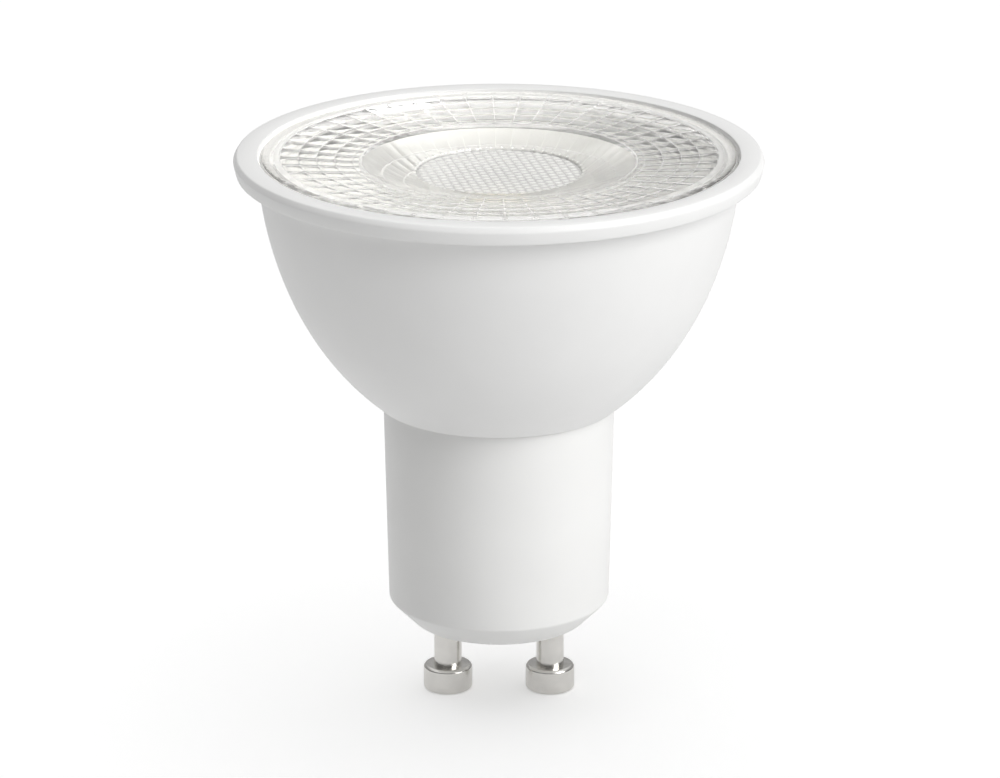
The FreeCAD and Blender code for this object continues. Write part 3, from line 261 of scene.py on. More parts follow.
class Finishes(bpy.types.PropertyGroup):
    """Colours of the finishes."""

    shell: colour((0.832, 0.831, 0.824), "White plastic of the cup")
    base: colour((0.832, 0.831, 0.82), "White plastic of the neck")
    lens_tint: colour((0.995, 0.99, 0.975), "Clear plastic of the lens")
    nickel: colour((0.78, 0.765, 0.735), "Plating of the pins")
    aluminium: colour((0.89, 0.89, 0.88), "Drawn aluminium cup")
    board: colour((0.82, 0.83, 0.82), "White lacquer of the LED board")
    package: colour((0.84, 0.84, 0.82), "White body of an LED package")
    phosphor: colour((0.88, 0.74, 0.36), "Yellow window of an LED")
    pad: colour((0.42, 0.43, 0.44), "Silicone of the thermal pad")
    steel: colour((0.66, 0.66, 0.67), "Steel of the board's screws")
    cap: colour((0.80, 0.80, 0.79), "White plastic of the driver's cap")
    lead: colour((0.75, 0.75, 0.72), "Insulation of the leads")


class Stage(bpy.types.PropertyGroup):
    """Camera, lamps and floor."""

    distance: length(500.0, "Camera to the point it looks at")
    elevation: angle(18.508, "Height of the camera over the horizon")
    aim_height: length(30.82, "Height of the point the camera looks at")
    aim_side: length(0.1, "How far that point lies to the right of the bulb's axis")
    focal_length: number(186.74, "Focal length in millimetres on a 36 mm sensor")
    ambient: number(0.08, "Light that comes from every side of the room")
    top_light: number(1.4, "Light that the room adds from above")
    back_light: number(0.38, "Light that the room adds from behind the bulb")
    key_power: FloatProperty(description="Power of the soft key lamp", default=2.55, unit="POWER")
    key_size: length(350.0, "Width of the key lamp")
    key_distance: length(600.0, "Key lamp to the bulb")
    key_side: angle(55, "How far the key lamp stands to the right of the camera's side")
    key_height: angle(30, "Height of the key lamp over the horizon")
    floor_colour: colour((0.80, 0.80, 0.80), "Pale floor")
    floor_key: number(0.26, "Light of the key lamp that the floor passes on")
    floor_glow: number(0.05, "White that the floor shows the camera beyond its own")
    floor_size: length(6000.0, "Width of the floor")


# Meshes

def line(start, way, pull, finish, finish_way, finish_pull, parts):
    """A smooth line between two points of an outline, with its direction given at both ends."""
    knots = (start, start + way * pull, finish - finish_way * finish_pull, finish)
    return [point.to_2d() for point in interpolate_bezier(*[knot.to_3d() for knot in knots], parts)]


def upward(slope):
    """Direction that runs outwards by slope for each step up."""
    return Vector((slope, 1.0)).normalized()


def inset_line(points, distance):
    """The same outline, moved by distance towards the axis along its normals."""
    moved = []
    for place, point in enumerate(points):
        before = points[max(place - 1, 0)]
        after = points[min(place + 1, len(points) - 1)]
        way = (after - before).normalized()
        moved.append(point + Vector((-way.y, way.x)) * distance)
    return moved


def turn_round(bm, verts, turn):
    """Turn vertices round the bulb's axis."""
    bmesh.ops.rotate(bm, verts=verts, cent=(0, 0, 0), matrix=Matrix.Rotation(turn, 3, "Z"))


def turned_shape(corners, steps, closed=False):
    """A closed solid of revolution from an outline of (radius, height, round), each round a bevel."""
    bm = bmesh.new()
    verts = [bm.verts.new((c[0], 0.0, c[1])) for c in corners]
    ends = zip(verts, verts[1:] + verts[:1]) if closed else zip(verts, verts[1:])
    for first, second in ends:
        bm.edges.new((first, second))
    for vert, corner in list(zip(verts, corners)):
        if len(corner) > 2:
            bmesh.ops.bevel(
                bm, geom=[vert], offset=corner[2], offset_type="OFFSET", segments=3,
                profile=0.5, affect="VERTICES", material=-1,
            )
    bmesh.ops.spin(
        bm, geom=bm.verts[:] + bm.edges[:], cent=(0, 0, 0), axis=(0, 0, 1), dvec=(0, 0, 0),
        angle=FULL_TURN, steps=steps, use_merge=True, use_duplicate=False,
    )
    bmesh.ops.remove_doubles(bm, verts=bm.verts, dist=SPUN_SEAM)
    bmesh.ops.recalc_face_normals(bm, faces=bm.faces)
    return bm


def add_box(bm, low, high):
    """A box between two corners."""
    low, high = Vector(low), Vector(high)
    made = bmesh.ops.create_cube(bm, size=1.0)["verts"]
    bmesh.ops.scale(bm, vec=high - low, verts=made)
    bmesh.ops.translate(bm, vec=(low + high) / 2, verts=made)
    return made


def add_post(bm, x, low, high, radius):
    """An upright cylinder."""
    made = bmesh.ops.create_cone(
        bm, cap_ends=True, segments=48, radius1=radius, radius2=radius, depth=high - low
    )["verts"]
    bmesh.ops.translate(bm, vec=(x, 0, (low + high) / 2), verts=made)


def add_object(name, data):
    """A new object in the scene."""
    item = bpy.data.objects.new(name, data)
    bpy.context.scene.collection.objects.link(item)
    return item


def mesh_object(name, bm, materials=()):
    """An object of the shape in a bmesh, which ends here."""
    mesh = bpy.data.meshes.new(name)
    bm.to_mesh(mesh)
    bm.free()
    for material in materials:
        mesh.materials.append(material)
    return add_object(name, mesh)


def smooth(mesh, sharp=30.0):
    """Smooth shading, but for edges sharper than the angle in degrees."""
    mesh.shade_smooth()
    mesh.set_sharp_from_angle(angle=math.radians(sharp))


def finish_piece(name, bm, materials, slot, *nodes, sharp=30.0):
    """Make the mesh an object that rides on the bulb and stands for its CAD nodes."""
    piece = mesh_object(name, bm, materials)
    smooth(piece.data, sharp)
    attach(piece, "root")
    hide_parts(*nodes)
    return piece


def merged_node(name):
    """A bmesh of a CAD node with its loose triangles joined."""
    bm = bmesh.new()
    bm.from_mesh(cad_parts[name].data)
    bmesh.ops.remove_doubles(bm, verts=bm.verts, dist=CAD_SEAM)
    return bm


def measure_parts(bm):
    """Give each loose part's vertices their place along it, from -1 at one end to 1 at the other."""
    layer = bm.verts.layers.float.new(ALONG)
    left = set(bm.verts)
    while left:
        part, front = set(), {left.pop()}
        while front:
            part |= front
            front = {e.other_vert(v) for v in front for e in v.link_edges} - part
        left -= part
        spans = [(max(v.co[a] for v in part) - min(v.co[a] for v in part), a) for a in range(3)]
        span, axis = max(spans)
        low = min(v.co[axis] for v in part)
        for vert in part:
            vert[layer] = (vert.co[axis] - low) / span * 2 - 1


def combine(target, kind, bm):
    """Join a tool shape to a piece, or cut it out, and apply the result."""
    tool = mesh_object("tool", bm)
    modifier = target.modifiers.new("join", "BOOLEAN")
    modifier.operation = kind
    modifier.solver = "EXACT"
    modifier.use_self = True
    modifier.object = tool
    bpy.context.view_layer.update()
    result = bpy.data.meshes.new_from_object(target.evaluated_get(bpy.context.evaluated_depsgraph_get()))
    target.modifiers.clear()
    target.data = result
    bpy.data.objects.remove(tool)


# Materials

NOISE_SPAN = (0.3, 0.7)
PLASTIC_BLOTCH = 9 * MM
PLASTIC_TONES = (0.985, 1.012)
PLASTIC_GLOSS = 0.04
METAL_BLOTCH = 1.2 * MM
METAL_TONES = (0.93, 1.05)
METAL_GLOSS = (-0.05, 0.07)
LENS_RIPPLE = 2.5 * MM
LENS_GLOSS = 0.02
LENS_IOR = 1.49
# Painted shade: the dark grey that the lens's grooves get where they look dark
PAINTED_SHADE_TONE = 0.3
SHADOW_TONE = 0.96
TRACK_TONE = 0.94
STRIPE_FROM = 0.82
FOOT_HEIGHT = 0.22 * MM
PALE_STRIPE = (0.62, 0.62, 0.60)
CAN_METAL = (0.78, 0.78, 0.79)
PAD_TIN = (0.72, 0.71, 0.68)
CHIP_TIN = (0.76, 0.75, 0.73)
FOOT_TIN = (0.74, 0.73, 0.70)
SPECKLE = (0.16, 0.16, 0.165)


def feed(tree, item, inputs):
    """Link sockets to a node's inputs, or set values on them."""
    for key, value in inputs.items():
        if isinstance(value, bpy.types.NodeSocket):
            tree.links.new(value, item.inputs[key])
        else:
            item.inputs[key].default_value = value


def add_node(tree, kind, inputs=None, **settings):
    """A shader node with its settings and inputs."""
    item = tree.nodes.new(f"ShaderNode{kind}")
    for key, value in settings.items():
        setattr(item, key, value)
    feed(tree, item, inputs or {})
    return item


def new_material(name):
    """A material with its node tree, shader, output and place on the object."""
    material = bpy.data.materials.new(name)
    material.use_nodes = True
    tree = material.node_tree
    tree.nodes.clear()
    shader = add_node(tree, "BsdfPrincipled")
    output = add_node(tree, "OutputMaterial", {"Surface": shader.outputs["BSDF"]})
    place = add_node(tree, "TexCoord").outputs["Object"]
    return material, tree, shader, output, place


def opened(material):
    """The node tree, shader and place of a material that gets another layer."""
    tree = material.node_tree
    kinds = {item.bl_idname: item for item in tree.nodes}
    return tree, kinds["ShaderNodeBsdfPrincipled"], kinds["ShaderNodeTexCoord"].outputs["Object"]


def reckon(tree, operation, *values):
    """The result of a sum with sockets and numbers."""
    return add_node(tree, "Math", dict(enumerate(values)), operation=operation).outputs["Value"]


def map_over(tree, value, low, high, start=0.0, end=1.0, **settings):
    """A value between low and high, mapped to start and end."""
    return add_node(tree, "MapRange", {
        "Value": value, "From Min": low, "From Max": high, "To Min": start, "To Max": end,
    }, **settings).outputs["Result"]


def noise(tree, place, size, detail=3.0):
    """Even noise whose blotches are about size across."""
    inputs = {"Vector": place, "Scale": 1.0 / size, "Detail": detail}
    return add_node(tree, "TexNoise", inputs).outputs["Fac"]


def spread(tree, factor, low, high):
    """Noise spread over low to high."""
    return map_over(tree, factor, *NOISE_SPAN, low, high)


def beyond(tree, value, limit, soft):
    """0 below the limit and 1 above it, with a soft edge."""
    return map_over(tree, value, limit - soft, limit + soft)


def within(tree, value, limit, soft):
    """1 below the limit and 0 above it, with a soft edge."""
    return map_over(tree, value, limit - soft, limit + soft, 1.0, 0.0)


def shade(tint, amount):
    """A darker or lighter tone of a colour."""
    return tuple(min(1.0, part * amount) for part in tint)


def mix_tones(tree, factor, first, second):
    """The colour between two tones, each a socket or a colour."""
    first, second = (
        tone if isinstance(tone, bpy.types.NodeSocket) else (*tone, 1.0) for tone in (first, second)
    )
    return add_node(tree, "Mix", {0: factor, 6: first, 7: second}, data_type="RGBA").outputs[2]


def mottled(tree, factor, tint, low, high):
    """A colour that noise takes from a darker to a lighter tone."""
    return mix_tones(tree, spread(tree, factor, 0.0, 1.0), shade(tint, low), shade(tint, high))


def raise_surface(tree, shader, height, depth):
    """Relief of the given depth, too fine for the mesh."""
    bump = add_node(tree, "Bump", {"Height": height, "Distance": depth, "Strength": 1.0})
    feed(tree, shader, {"Normal": bump.outputs["Normal"]})


def cover(tree, shader, mask, tint, metal=False):
    """Lay a second tone over a shader's colour where the mask is 1."""
    under = shader.inputs["Base Color"].links[0].from_socket
    feed(tree, shader, {"Base Color": mix_tones(tree, mask, under, tint)})
    if metal:
        feed(tree, shader, {"Metallic": mask})


def axis_of(tree, place, axis):
    """One coordinate of the place on the object."""
    return add_node(tree, "SeparateXYZ", {"Vector": place}).outputs[axis]


def ends_of(tree):
    """0 in the middle of each loose part and 1 at both its ends."""
    return reckon(tree, "ABSOLUTE", add_node(tree, "Attribute", attribute_name=ALONG).outputs["Fac"])


def plastic(name, tint, roughness, grain=0.12 * MM, depth=0.002 * MM, specular=0.5):
    """Moulded plastic: fine grain, slow change of tone, and a little unevenness of gloss."""
    material, tree, shader, _, place = new_material(name)
    fine = noise(tree, place, grain)
    feed(tree, shader, {
        "Base Color": mottled(tree, noise(tree, place, PLASTIC_BLOTCH, detail=2.0), tint, *PLASTIC_TONES),
        "Roughness": spread(tree, fine, roughness - PLASTIC_GLOSS, roughness + PLASTIC_GLOSS),
        "Specular IOR Level": specular,
    })
    if depth:
        raise_surface(tree, shader, fine, depth)
    return material


def turned_metal(name, tint, roughness, pitch, depth, wave="BANDS", metallic=1.0):
    """Metal with the fine rings that turning or drawing leaves."""
    material, tree, shader, _, place = new_material(name)
    rings = add_node(tree, "TexWave", {
        "Vector": place, "Scale": 1.0 / pitch, "Distortion": 1.5, "Detail": 2.0, "Detail Scale": 3.0,
    }, wave_type=wave, bands_direction="Z", rings_direction="Z").outputs["Fac"]
    blotch = noise(tree, place, METAL_BLOTCH)
    feed(tree, shader, {
        "Base Color": mottled(tree, blotch, tint, *METAL_TONES),
        "Roughness": spread(tree, blotch, *(roughness + step for step in METAL_GLOSS)),
        "Metallic": metallic,
    })
    raise_surface(tree, shader, rings, depth)
    return material


def circuit_board(name, tint, track, roughness, pitch):
    """Lacquered board: raised tracks under the lacquer, and round tinned pads."""
    material = plastic(name, tint, roughness, grain=0.3 * MM, depth=0.0)
    tree, shader, place = opened(material)
    edge = add_node(tree, "TexVoronoi", {
        "Vector": place, "Scale": 1.0 / pitch, "Randomness": 0.55,
    }, feature="DISTANCE_TO_EDGE").outputs["Distance"]
    tracks = within(tree, edge, limit=0.07, soft=0.012)
    cover(tree, shader, tracks, track)
    spot = add_node(tree, "TexVoronoi", {
        "Vector": place, "Scale": 0.8 / pitch, "Randomness": 0.8,
    }).outputs["Distance"]
    cover(tree, shader, within(tree, spot, limit=0.16, soft=0.02), PAD_TIN, metal=True)
    raise_surface(tree, shader, tracks, depth=0.02 * MM)
    return material


def sleeved_can(name, tint, stripe, side):
    """Capacitor: shrunk sleeve with a pale stripe down one side, and bare metal at its ends."""
    material = plastic(name, tint, roughness=0.28, grain=0.5 * MM, depth=0.004 * MM)
    tree, shader, place = opened(material)
    across = reckon(tree, "MULTIPLY", axis_of(tree, place, "X"), side)
    cover(tree, shader, beyond(tree, across, limit=stripe, soft=0.04 * MM), PALE_STRIPE)
    cover(tree, shader, beyond(tree, ends_of(tree), limit=0.955, soft=0.01), CAN_METAL, metal=True)
    return material


def tinned_chip(name, tint, ends_from, roughness):
    """Chip part with its two ends tinned."""
    material = plastic(name, tint, roughness, grain=0.05 * MM, depth=0.001 * MM)
    tree, shader, _ = opened(material)
    cover(tree, shader, beyond(tree, ends_of(tree), limit=ends_from, soft=0.03), CHIP_TIN, metal=True)
    return material


def ringed_body(name, tint, ring, pitch, height, roughness):
    """Body with rings round it: painted ones, or the edges of wound tape."""
    material = plastic(name, tint, roughness, grain=0.3 * MM, depth=0.0)
    tree, shader, place = opened(material)
    turns = reckon(tree, "MULTIPLY", axis_of(tree, place, "Z"), FULL_TURN / pitch)
    rings = beyond(tree, reckon(tree, "SINE", turns), limit=0.72, soft=0.06)
    cover(tree, shader, rings, ring)
    raise_surface(tree, shader, rings, height)
    return material


def moulded_package(name, tint):
    """Black epoxy with its tinned feet on the board."""
    material = plastic(name, tint, roughness=0.52, grain=0.08 * MM, depth=0.004 * MM)
    tree, shader, place = opened(material)
    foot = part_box("driver_board")[0].y - FOOT_HEIGHT
    cover(tree, shader, beyond(tree, axis_of(tree, place, "Y"), foot, soft=0.02 * MM), FOOT_TIN, metal=True)
    return material


def fired_ferrite(name, tint):
    """Dark ferrite with a fine grey speckle."""
    material = plastic(name, tint, roughness=0.62, grain=0.18 * MM, depth=0.01 * MM, specular=0.35)
    tree, shader, place = opened(material)
    specks = noise(tree, place, 0.12 * MM, detail=6.0)
    cover(tree, shader, beyond(tree, specks, limit=0.62, soft=0.05), SPECKLE)
    return material


def clear_plastic(name, tint, roughness, milk):
    """Clear moulded plastic that lets lamps shine through it, with milky ridges, and painted shade in its
    grooves: grey colour where they look dark.
    """
    material, tree, shader, output, place = new_material(name)
    mark = add_node(tree, "Attribute", attribute_name=MARKS).outputs["Fac"]
    ripple = noise(tree, place, LENS_RIPPLE, detail=1.0)
    feed(tree, shader, {
        # Painted shade: below 0 the mark takes the colour to a dark grey, and the plastic stops letting
        # light through
        "Base Color": mix_tones(tree, map_over(tree, mark, 0.0, -1.0), tint, shade(tint, PAINTED_SHADE_TONE)),
        "Transmission Weight": map_over(tree, reckon(tree, "ABSOLUTE", mark), 0.0, 1.0, 1.0 - milk, 0.0),
        "Roughness": spread(tree, ripple, roughness, roughness + LENS_GLOSS),
        "IOR": LENS_IOR,
    })
    raise_surface(tree, shader, ripple, depth=0.004 * MM)
    through = add_node(tree, "BsdfTransparent", {"Color": (*shade(tint, SHADOW_TONE), 1.0)})
    mixed = add_node(tree, "MixShader", {
        0: add_node(tree, "LightPath").outputs["Is Shadow Ray"],
        1: shader.outputs["BSDF"], 2: through.outputs["BSDF"],
    })
    feed(tree, output, {"Surface": mixed.outputs["Shader"]})
    return material


# Pieces

class BULB_OT_cup(bpy.types.Operator):
    """White cup: bowl, rim, lens seat and snap land"""

    bl_idname = "bulb.cup"
    bl_label = "Cup"

    def execute(self, context):
        shape = context.scene.bulb_bowl
        soft = shape.edge_round
        base, top = CUP_LOW.z, CUP_HIGH.z
        rim_radius = CUP_HIGH.x
        under = top - shape.rim_height
        seat = top - shape.seat_depth
        land = base + shape.lip_height
        outside = line(
            Vector((shape.lip_radius, base)), upward(shape.lip_slope), shape.lip_pull,
            Vector((shape.mouth_radius, under)), upward(shape.mouth_slope), shape.mouth_pull,
            BOWL_PARTS,
        )
        inside = [p for p in inset_line(outside, shape.wall) if p.y > land]
        inside.append(inside[-1] + upward(shape.mouth_slope) * (seat - inside[-1].y))
        corners = [(shape.bore, base, soft), (shape.lip_radius, base, soft)]
        corners += outside[1:]
        corners += [
            (rim_radius - shape.rim_inset, under, soft),
            (rim_radius, top - shape.bevel_height, soft),
            (rim_radius - shape.bevel_width, top, soft),
            (shape.opening_radius, top, soft),
            (shape.opening_radius, seat),
        ]
        corners += reversed(inside)
        corners += [(inside[0].x - shape.land_step, land), (shape.bore, land)]
        bm = turned_shape(corners, shape.steps, closed=True)
        white = plastic("cup_white", context.scene.bulb_finishes.shell, roughness=0.42)
        finish_piece("white_cup", bm, [white], "white_shell", "lamp_cup")
        return {"FINISHED"}


class BULB_OT_neck(bpy.types.Operator):
    """White neck with its base, pin bosses, board rails and snap spigot"""

    bl_idname = "bulb.neck"
    bl_label = "Neck"

    def execute(self, context):
        shape = context.scene.bulb_neck
        pins = context.scene.bulb_pins
        soft = shape.edge_round
        base, top = NECK_LOW.z, NECK_HIGH.z
        shoulder = CUP_LOW.z
        floor = base + shape.floor
        bevel = base + shape.bevel
        bore = shape.bottom_radius - shape.wall
        spigot = shape.spigot_radius
        inner = spigot - shape.spigot_wall
        bead = shoulder + shape.bead_lift
        slant = shape.wall * math.sqrt(2)
        flat = shape.bottom_radius - shape.bevel
        bm = turned_shape([
            (0.0, base), (flat, base, soft), (shape.bottom_radius, bevel, soft),
            (shape.top_radius, shoulder, soft / 2), (spigot, shoulder), (spigot, bead),
            (spigot + shape.bead, bead), (spigot + shape.bead, bead + shape.bead), (spigot, top),
            (inner, top), (inner, shoulder), (shape.top_radius - shape.wall, shoulder - shape.wall),
            (bore, bevel - shape.wall + slant), (flat + shape.floor - slant, floor), (0.0, floor),
        ], shape.steps)
        white = plastic("neck_white", context.scene.bulb_finishes.base, roughness=0.36)
        neck = finish_piece("white_neck", bm, [white], "white_base", "neck_housing")
        self.add_bosses_and_rails(neck, shape, pins, floor, shoulder, bore)
        self.cut_slots(neck, shape, top, inner)
        smooth(neck.data)
        return {"FINISHED"}

    def add_bosses_and_rails(self, neck, shape, pins, floor, shoulder, bore):
        """Bosses round the pins, and two grooved rails that hold the driver board."""
        face = bore - shape.rail_depth
        end = shape.top_radius - shape.wall + RAIL_BITE
        top = shoulder - RAIL_GAP
        boss_top = floor + shape.boss_height
        board_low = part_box("driver_board")[0].z
        bosses, rails, hollows = bmesh.new(), bmesh.new(), bmesh.new()
        for side in (-1, 1):
            axis = side * pins.spacing / 2
            add_post(bosses, axis, floor - MM / 2, boss_top, shape.boss_radius)
            near, far = sorted((side * face, side * end))
            half = shape.rail_half
            add_box(rails, (near, -half, floor - RAIL_FOOT), (far, half, top))
            near, far = sorted((side * (face - MM), side * shape.groove_end))
            half = shape.groove_half
            add_box(hollows, (near, -half, board_low), (far, half, shoulder + MM / 4))
            add_post(hollows, axis, NECK_LOW.z - MM, boss_top + MM, shape.hole_radius)
        combine(neck, "UNION", bosses)
        combine(neck, "UNION", rails)
        combine(neck, "DIFFERENCE", hollows)

    def cut_slots(self, neck, shape, top, inner):
        """Four slots, so that the spigot can spring in."""
        tool = bmesh.new()
        half = shape.slot_width / 2
        for turn in range(4):
            low = (-half, inner - 2 * MM, top - shape.slot_depth)
            made = add_box(tool, low, (half, shape.spigot_radius + MM, top + MM))
            turn_round(tool, made, turn * FULL_TURN / 4)
        combine(neck, "DIFFERENCE", tool)


class BULB_OT_pins(bpy.types.Operator):
    """Two stepped contact pins"""

    bl_idname = "bulb.pins"
    bl_label = "Contact pins"

    def execute(self, context):
        shape = context.scene.bulb_pins
        nickel = context.scene.bulb_finishes.nickel
        metal = turned_metal("pin_nickel", nickel, roughness=0.2, pitch=0.09 * MM, depth=0.0006 * MM)
        soft = shape.edge_round
        foot, edge, shank = shape.foot_radius, shape.foot_edge, shape.shank_radius
        head = PIN_HIGH.z
        for name, side in (("left", -1), ("right", 1)):
            bm = turned_shape([
                (0.0, 0.0), (foot - edge, 0.0, soft), (foot, edge, soft),
                (foot, shape.foot_height - edge, soft), (foot - edge, shape.foot_height, soft),
                (shank, shape.foot_height), (shank, head - shape.rivet_height),
                (shape.rivet_radius, head - shape.rivet_height), (shape.rivet_radius, head, soft),
                (shape.bore_radius, head), (shape.bore_radius, head - shape.bore_depth),
                (0.0, head - shape.bore_depth),
            ], shape.steps)
            bmesh.ops.translate(bm, vec=(side * shape.spacing / 2, 0, 0), verts=bm.verts)
            finish_piece(f"nickel_pin_{name}", bm, [metal], "nickel_pin", f"contact_pin_{name}")
        return {"FINISHED"}


def lens_outline(shape):
    """The lens's outline from the edge of the lenslets round to the top of the cavity."""
    top, foot = LENS_HIGH.z, LENS_LOW.z
    border = LENS_HIGH.x
    plate = top - shape.plate
    ledge = top - shape.ledge_height
    dish = top - shape.dish_level
    disc = dish - shape.dish_depth
    fall = (top - dish) / shape.rows
    width = (shape.facet_outer - shape.facet_inner) / shape.rows
    corners = [(shape.disc_radius - shape.disc_wall, disc - shape.disc_step), (shape.disc_radius, disc)]
    foot_of_dish, edge_of_dish = Vector((shape.disc_radius, disc)), Vector((shape.dish_radius, dish))
    reach = (edge_of_dish - foot_of_dish).length
    ways = [Vector((1, rise)).normalized() for rise in DISH_RISES]
    corners += line(
        foot_of_dish, ways[0], reach * DISH_PULLS[0], edge_of_dish, ways[1], reach * DISH_PULLS[1],
        DISH_PARTS,
    )[1:]
    narrow = shape.facet_inner - shape.dish_radius
    corners += [(shape.dish_radius + narrow * step, dish) for step in CELL_STEPS[1:]]
    for row in range(shape.rows, 0, -1):
        for step in CELL_STEPS:
            corners.append((shape.facet_outer - width * (row - step), top - fall * (row - step)))
    corners += [
        (shape.facet_outer, top), (shape.facet_outer + shape.border_step, top),
        (border, top, shape.edge_round), (border, ledge), (shape.ledge_inside, ledge),
        (shape.ledge_inside, plate), (shape.collimator_top, plate),
    ]
    height = plate - foot
    reach = shape.collimator_top - shape.foot_radius
    for tier in range(shape.tiers - 1, -1, -1):
        for end in (1, 0):
            part = (tier + end) / shape.tiers
            radius = shape.foot_radius + reach * part + shape.bulge * 4 * part * (1 - part)
            if end == 1 and tier < shape.tiers - 1:
                radius -= shape.tier_step
            if part < 1:
                corners.append((radius, foot + height * part))
    corners.append((shape.cavity_radius, foot))
    shoulder = foot + shape.cavity_height
    return corners + line(
        Vector((shape.dome_radius, shoulder)), Vector((-1, DOME_RISE)).normalized(),
        shape.dome_radius * DOME_PULLS[0],
        Vector((0, shoulder + shape.dome_height)), Vector((-1, 0)),
        shape.dome_radius * DOME_PULLS[1], DOME_PARTS,
    )


def angle_of(vert):
    """Angle of a vertex round the axis."""
    return math.atan2(vert.co.y, vert.co.x) % FULL_TURN


def gather_at_ridges(bm, shape):
    """Turn the spun rings of vertices so that they lie close together at each ridge."""
    parts = len(CELL_STEPS)
    for vert in bm.verts:
        place = round(angle_of(vert) / FULL_TURN * shape.sectors * parts)
        wanted = (place // parts + CELL_STEPS[place % parts]) / shape.sectors * FULL_TURN
        radius = vert.co.to_2d().length
        vert.co.x, vert.co.y = radius * math.cos(wanted), radius * math.sin(wanted)


def across_sector(shape, vert):
    """Place of a vertex in its sector, from -1 at one ridge to 1 at the next."""
    return (angle_of(vert) / FULL_TURN * shape.sectors + ROUNDING) % 1.0 * 2 - 1


def hollow_facets(bm, shape):
    """Sink each cell of the polar grid to a shallow hollow, so that ridges stand between."""
    width = (shape.facet_outer - shape.facet_inner) / shape.rows
    level = LENS_HIGH.z - shape.dish_level - NEAR
    marks = bm.verts.layers.float[MARKS]
    for vert in bm.verts:
        radius = vert.co.to_2d().length
        if vert.co.z > level and abs(radius - shape.facet_outer - shape.border_step) < SAME_RADIUS:
            vert[marks] = shape.ridge_milk
        inside = shape.dish_radius - SAME_RADIUS < radius < shape.facet_outer + SAME_RADIUS
        if vert.co.z < level or not inside:
            continue
        between = across_sector(shape, vert)
        if radius < shape.facet_inner - SAME_RADIUS:
            along = (radius - shape.dish_radius) / (shape.facet_inner - shape.dish_radius) * 2 - 1
            sink = shape.narrow_sink
        else:
            along = ((radius - shape.facet_inner) / width + ROUNDING) % 1.0 * 2 - 1
            sink = shape.facet_sink
        vert.co.z -= sink * max(0.0, 1 - along ** HOLLOW_POWER)
        vert.co.z -= shape.spoke_sink * max(0.0, 1 - between ** HOLLOW_POWER)
        if min(along, between) < -AT_RIDGE:
            vert[marks] = shape.ridge_milk


def groove_flutes(bm, shape):
    """Pull the collimator's side in at each spoke, so that it swells between the grooves."""
    low = LENS_LOW.z
    high = LENS_HIGH.z - shape.plate
    marks = bm.verts.layers.float[MARKS]
    for vert in bm.verts:
        radius = vert.co.to_2d().length
        if low - NEAR < vert.co.z < high - NEAR and radius > shape.cavity_radius + NEAR:
            between = across_sector(shape, vert)
            pull = 1 - shape.flute * between ** 2 / radius
            vert.co.x *= pull
            vert.co.y *= pull
            if between < -AT_RIDGE:
                vert[marks] = shape.flute_ridge_milk


def cut_into_strips(bm, faces, way, spacing, reach):
    """Cut flat faces along parallel lines, and return all the strips."""
    lines = math.ceil(reach / spacing)
    for step in range(-lines, lines + 1):
        edges = {edge for face in faces for edge in face.edges}
        verts = {vert for face in faces for vert in face.verts}
        cut = bmesh.ops.bisect_plane(
            bm, geom=[*faces, *edges, *verts], dist=CUT_SEAM, plane_co=way * (spacing * step), plane_no=way
        )
        faces = [item for item in cut["geom"] if isinstance(item, bmesh.types.BMFace)]
    return faces


def lay_lenslets(bm, shape):
    """Fill the disc with a honeycomb of small domed lenslets, with painted shade in the grooves between
    them and round the disc.
    """
    rim = [e for e in bm.edges if e.is_boundary]
    disc = bmesh.ops.contextual_create(bm, geom=rim)["faces"]
    level = disc[0].calc_center_median().z
    edge = shape.disc_radius - shape.disc_wall
    pitch = shape.lenslet_pitch
    spacing = pitch * math.cos(math.radians(30)) / shape.lenslet_parts
    first = Vector((math.cos(shape.lenslet_turn), math.sin(shape.lenslet_turn), 0))
    second = Matrix.Rotation(math.radians(60), 3, "Z") @ first
    for along in (first, second):
        disc = cut_into_strips(bm, disc, Vector((-along.y, along.x, 0)), spacing, edge)
    disc = bmesh.ops.triangulate(bm, faces=disc, quad_method="SHORT_EDGE", ngon_method="BEAUTY")["faces"]
    curve = shape.lenslet_radius
    lowest = math.sqrt(curve ** 2 - pitch ** 2 / 3)
    lattice = Matrix(((first.x * pitch, second.x * pitch), (first.y * pitch, second.y * pitch)))
    to_lattice = lattice.inverted()
    marks = bm.verts.layers.float[MARKS]
    for face in disc:
        face.material_index = SATIN
    for vert in {v for f in disc for v in f.verts}:
        radius = vert.co.to_2d().length
        # Painted shade round the disc's rim: its lowest vertices get the dark grey mark, and their
        # neighbours on the step above become milky
        if radius > edge - NEAR or abs(vert.co.z - level) > NEAR:
            vert[marks] = -shape.edge_shade
            for other in (side.other_vert(vert) for side in vert.link_edges):
                if other.co.z > level + shape.disc_step / 2:
                    other[marks] = 1.0
            continue
        place = to_lattice @ vert.co.to_2d()
        corner = Vector((math.floor(place.x), math.floor(place.y)))
        centres = [lattice @ (corner + Vector(step)) for step in ((0, 0), (1, 0), (0, 1), (1, 1))]
        away = min((vert.co.to_2d() - centre).length for centre in centres)
        rise = math.sqrt(curve ** 2 - away ** 2) - lowest
        vert.co.z += rise * min(1.0, (edge - radius) / shape.lenslet_fade)
        # Painted shade: grey that grows towards the grooves between lenslets and towards the rim of the
        # disc
        painted_groove_shade = shape.groove_shade * (away * math.sqrt(3) / pitch) ** GROOVE_POWER
        border = shape.edge_shade * (1 - (edge - radius) / shape.lenslet_fade)
        vert[marks] = -max(painted_groove_shade, border)


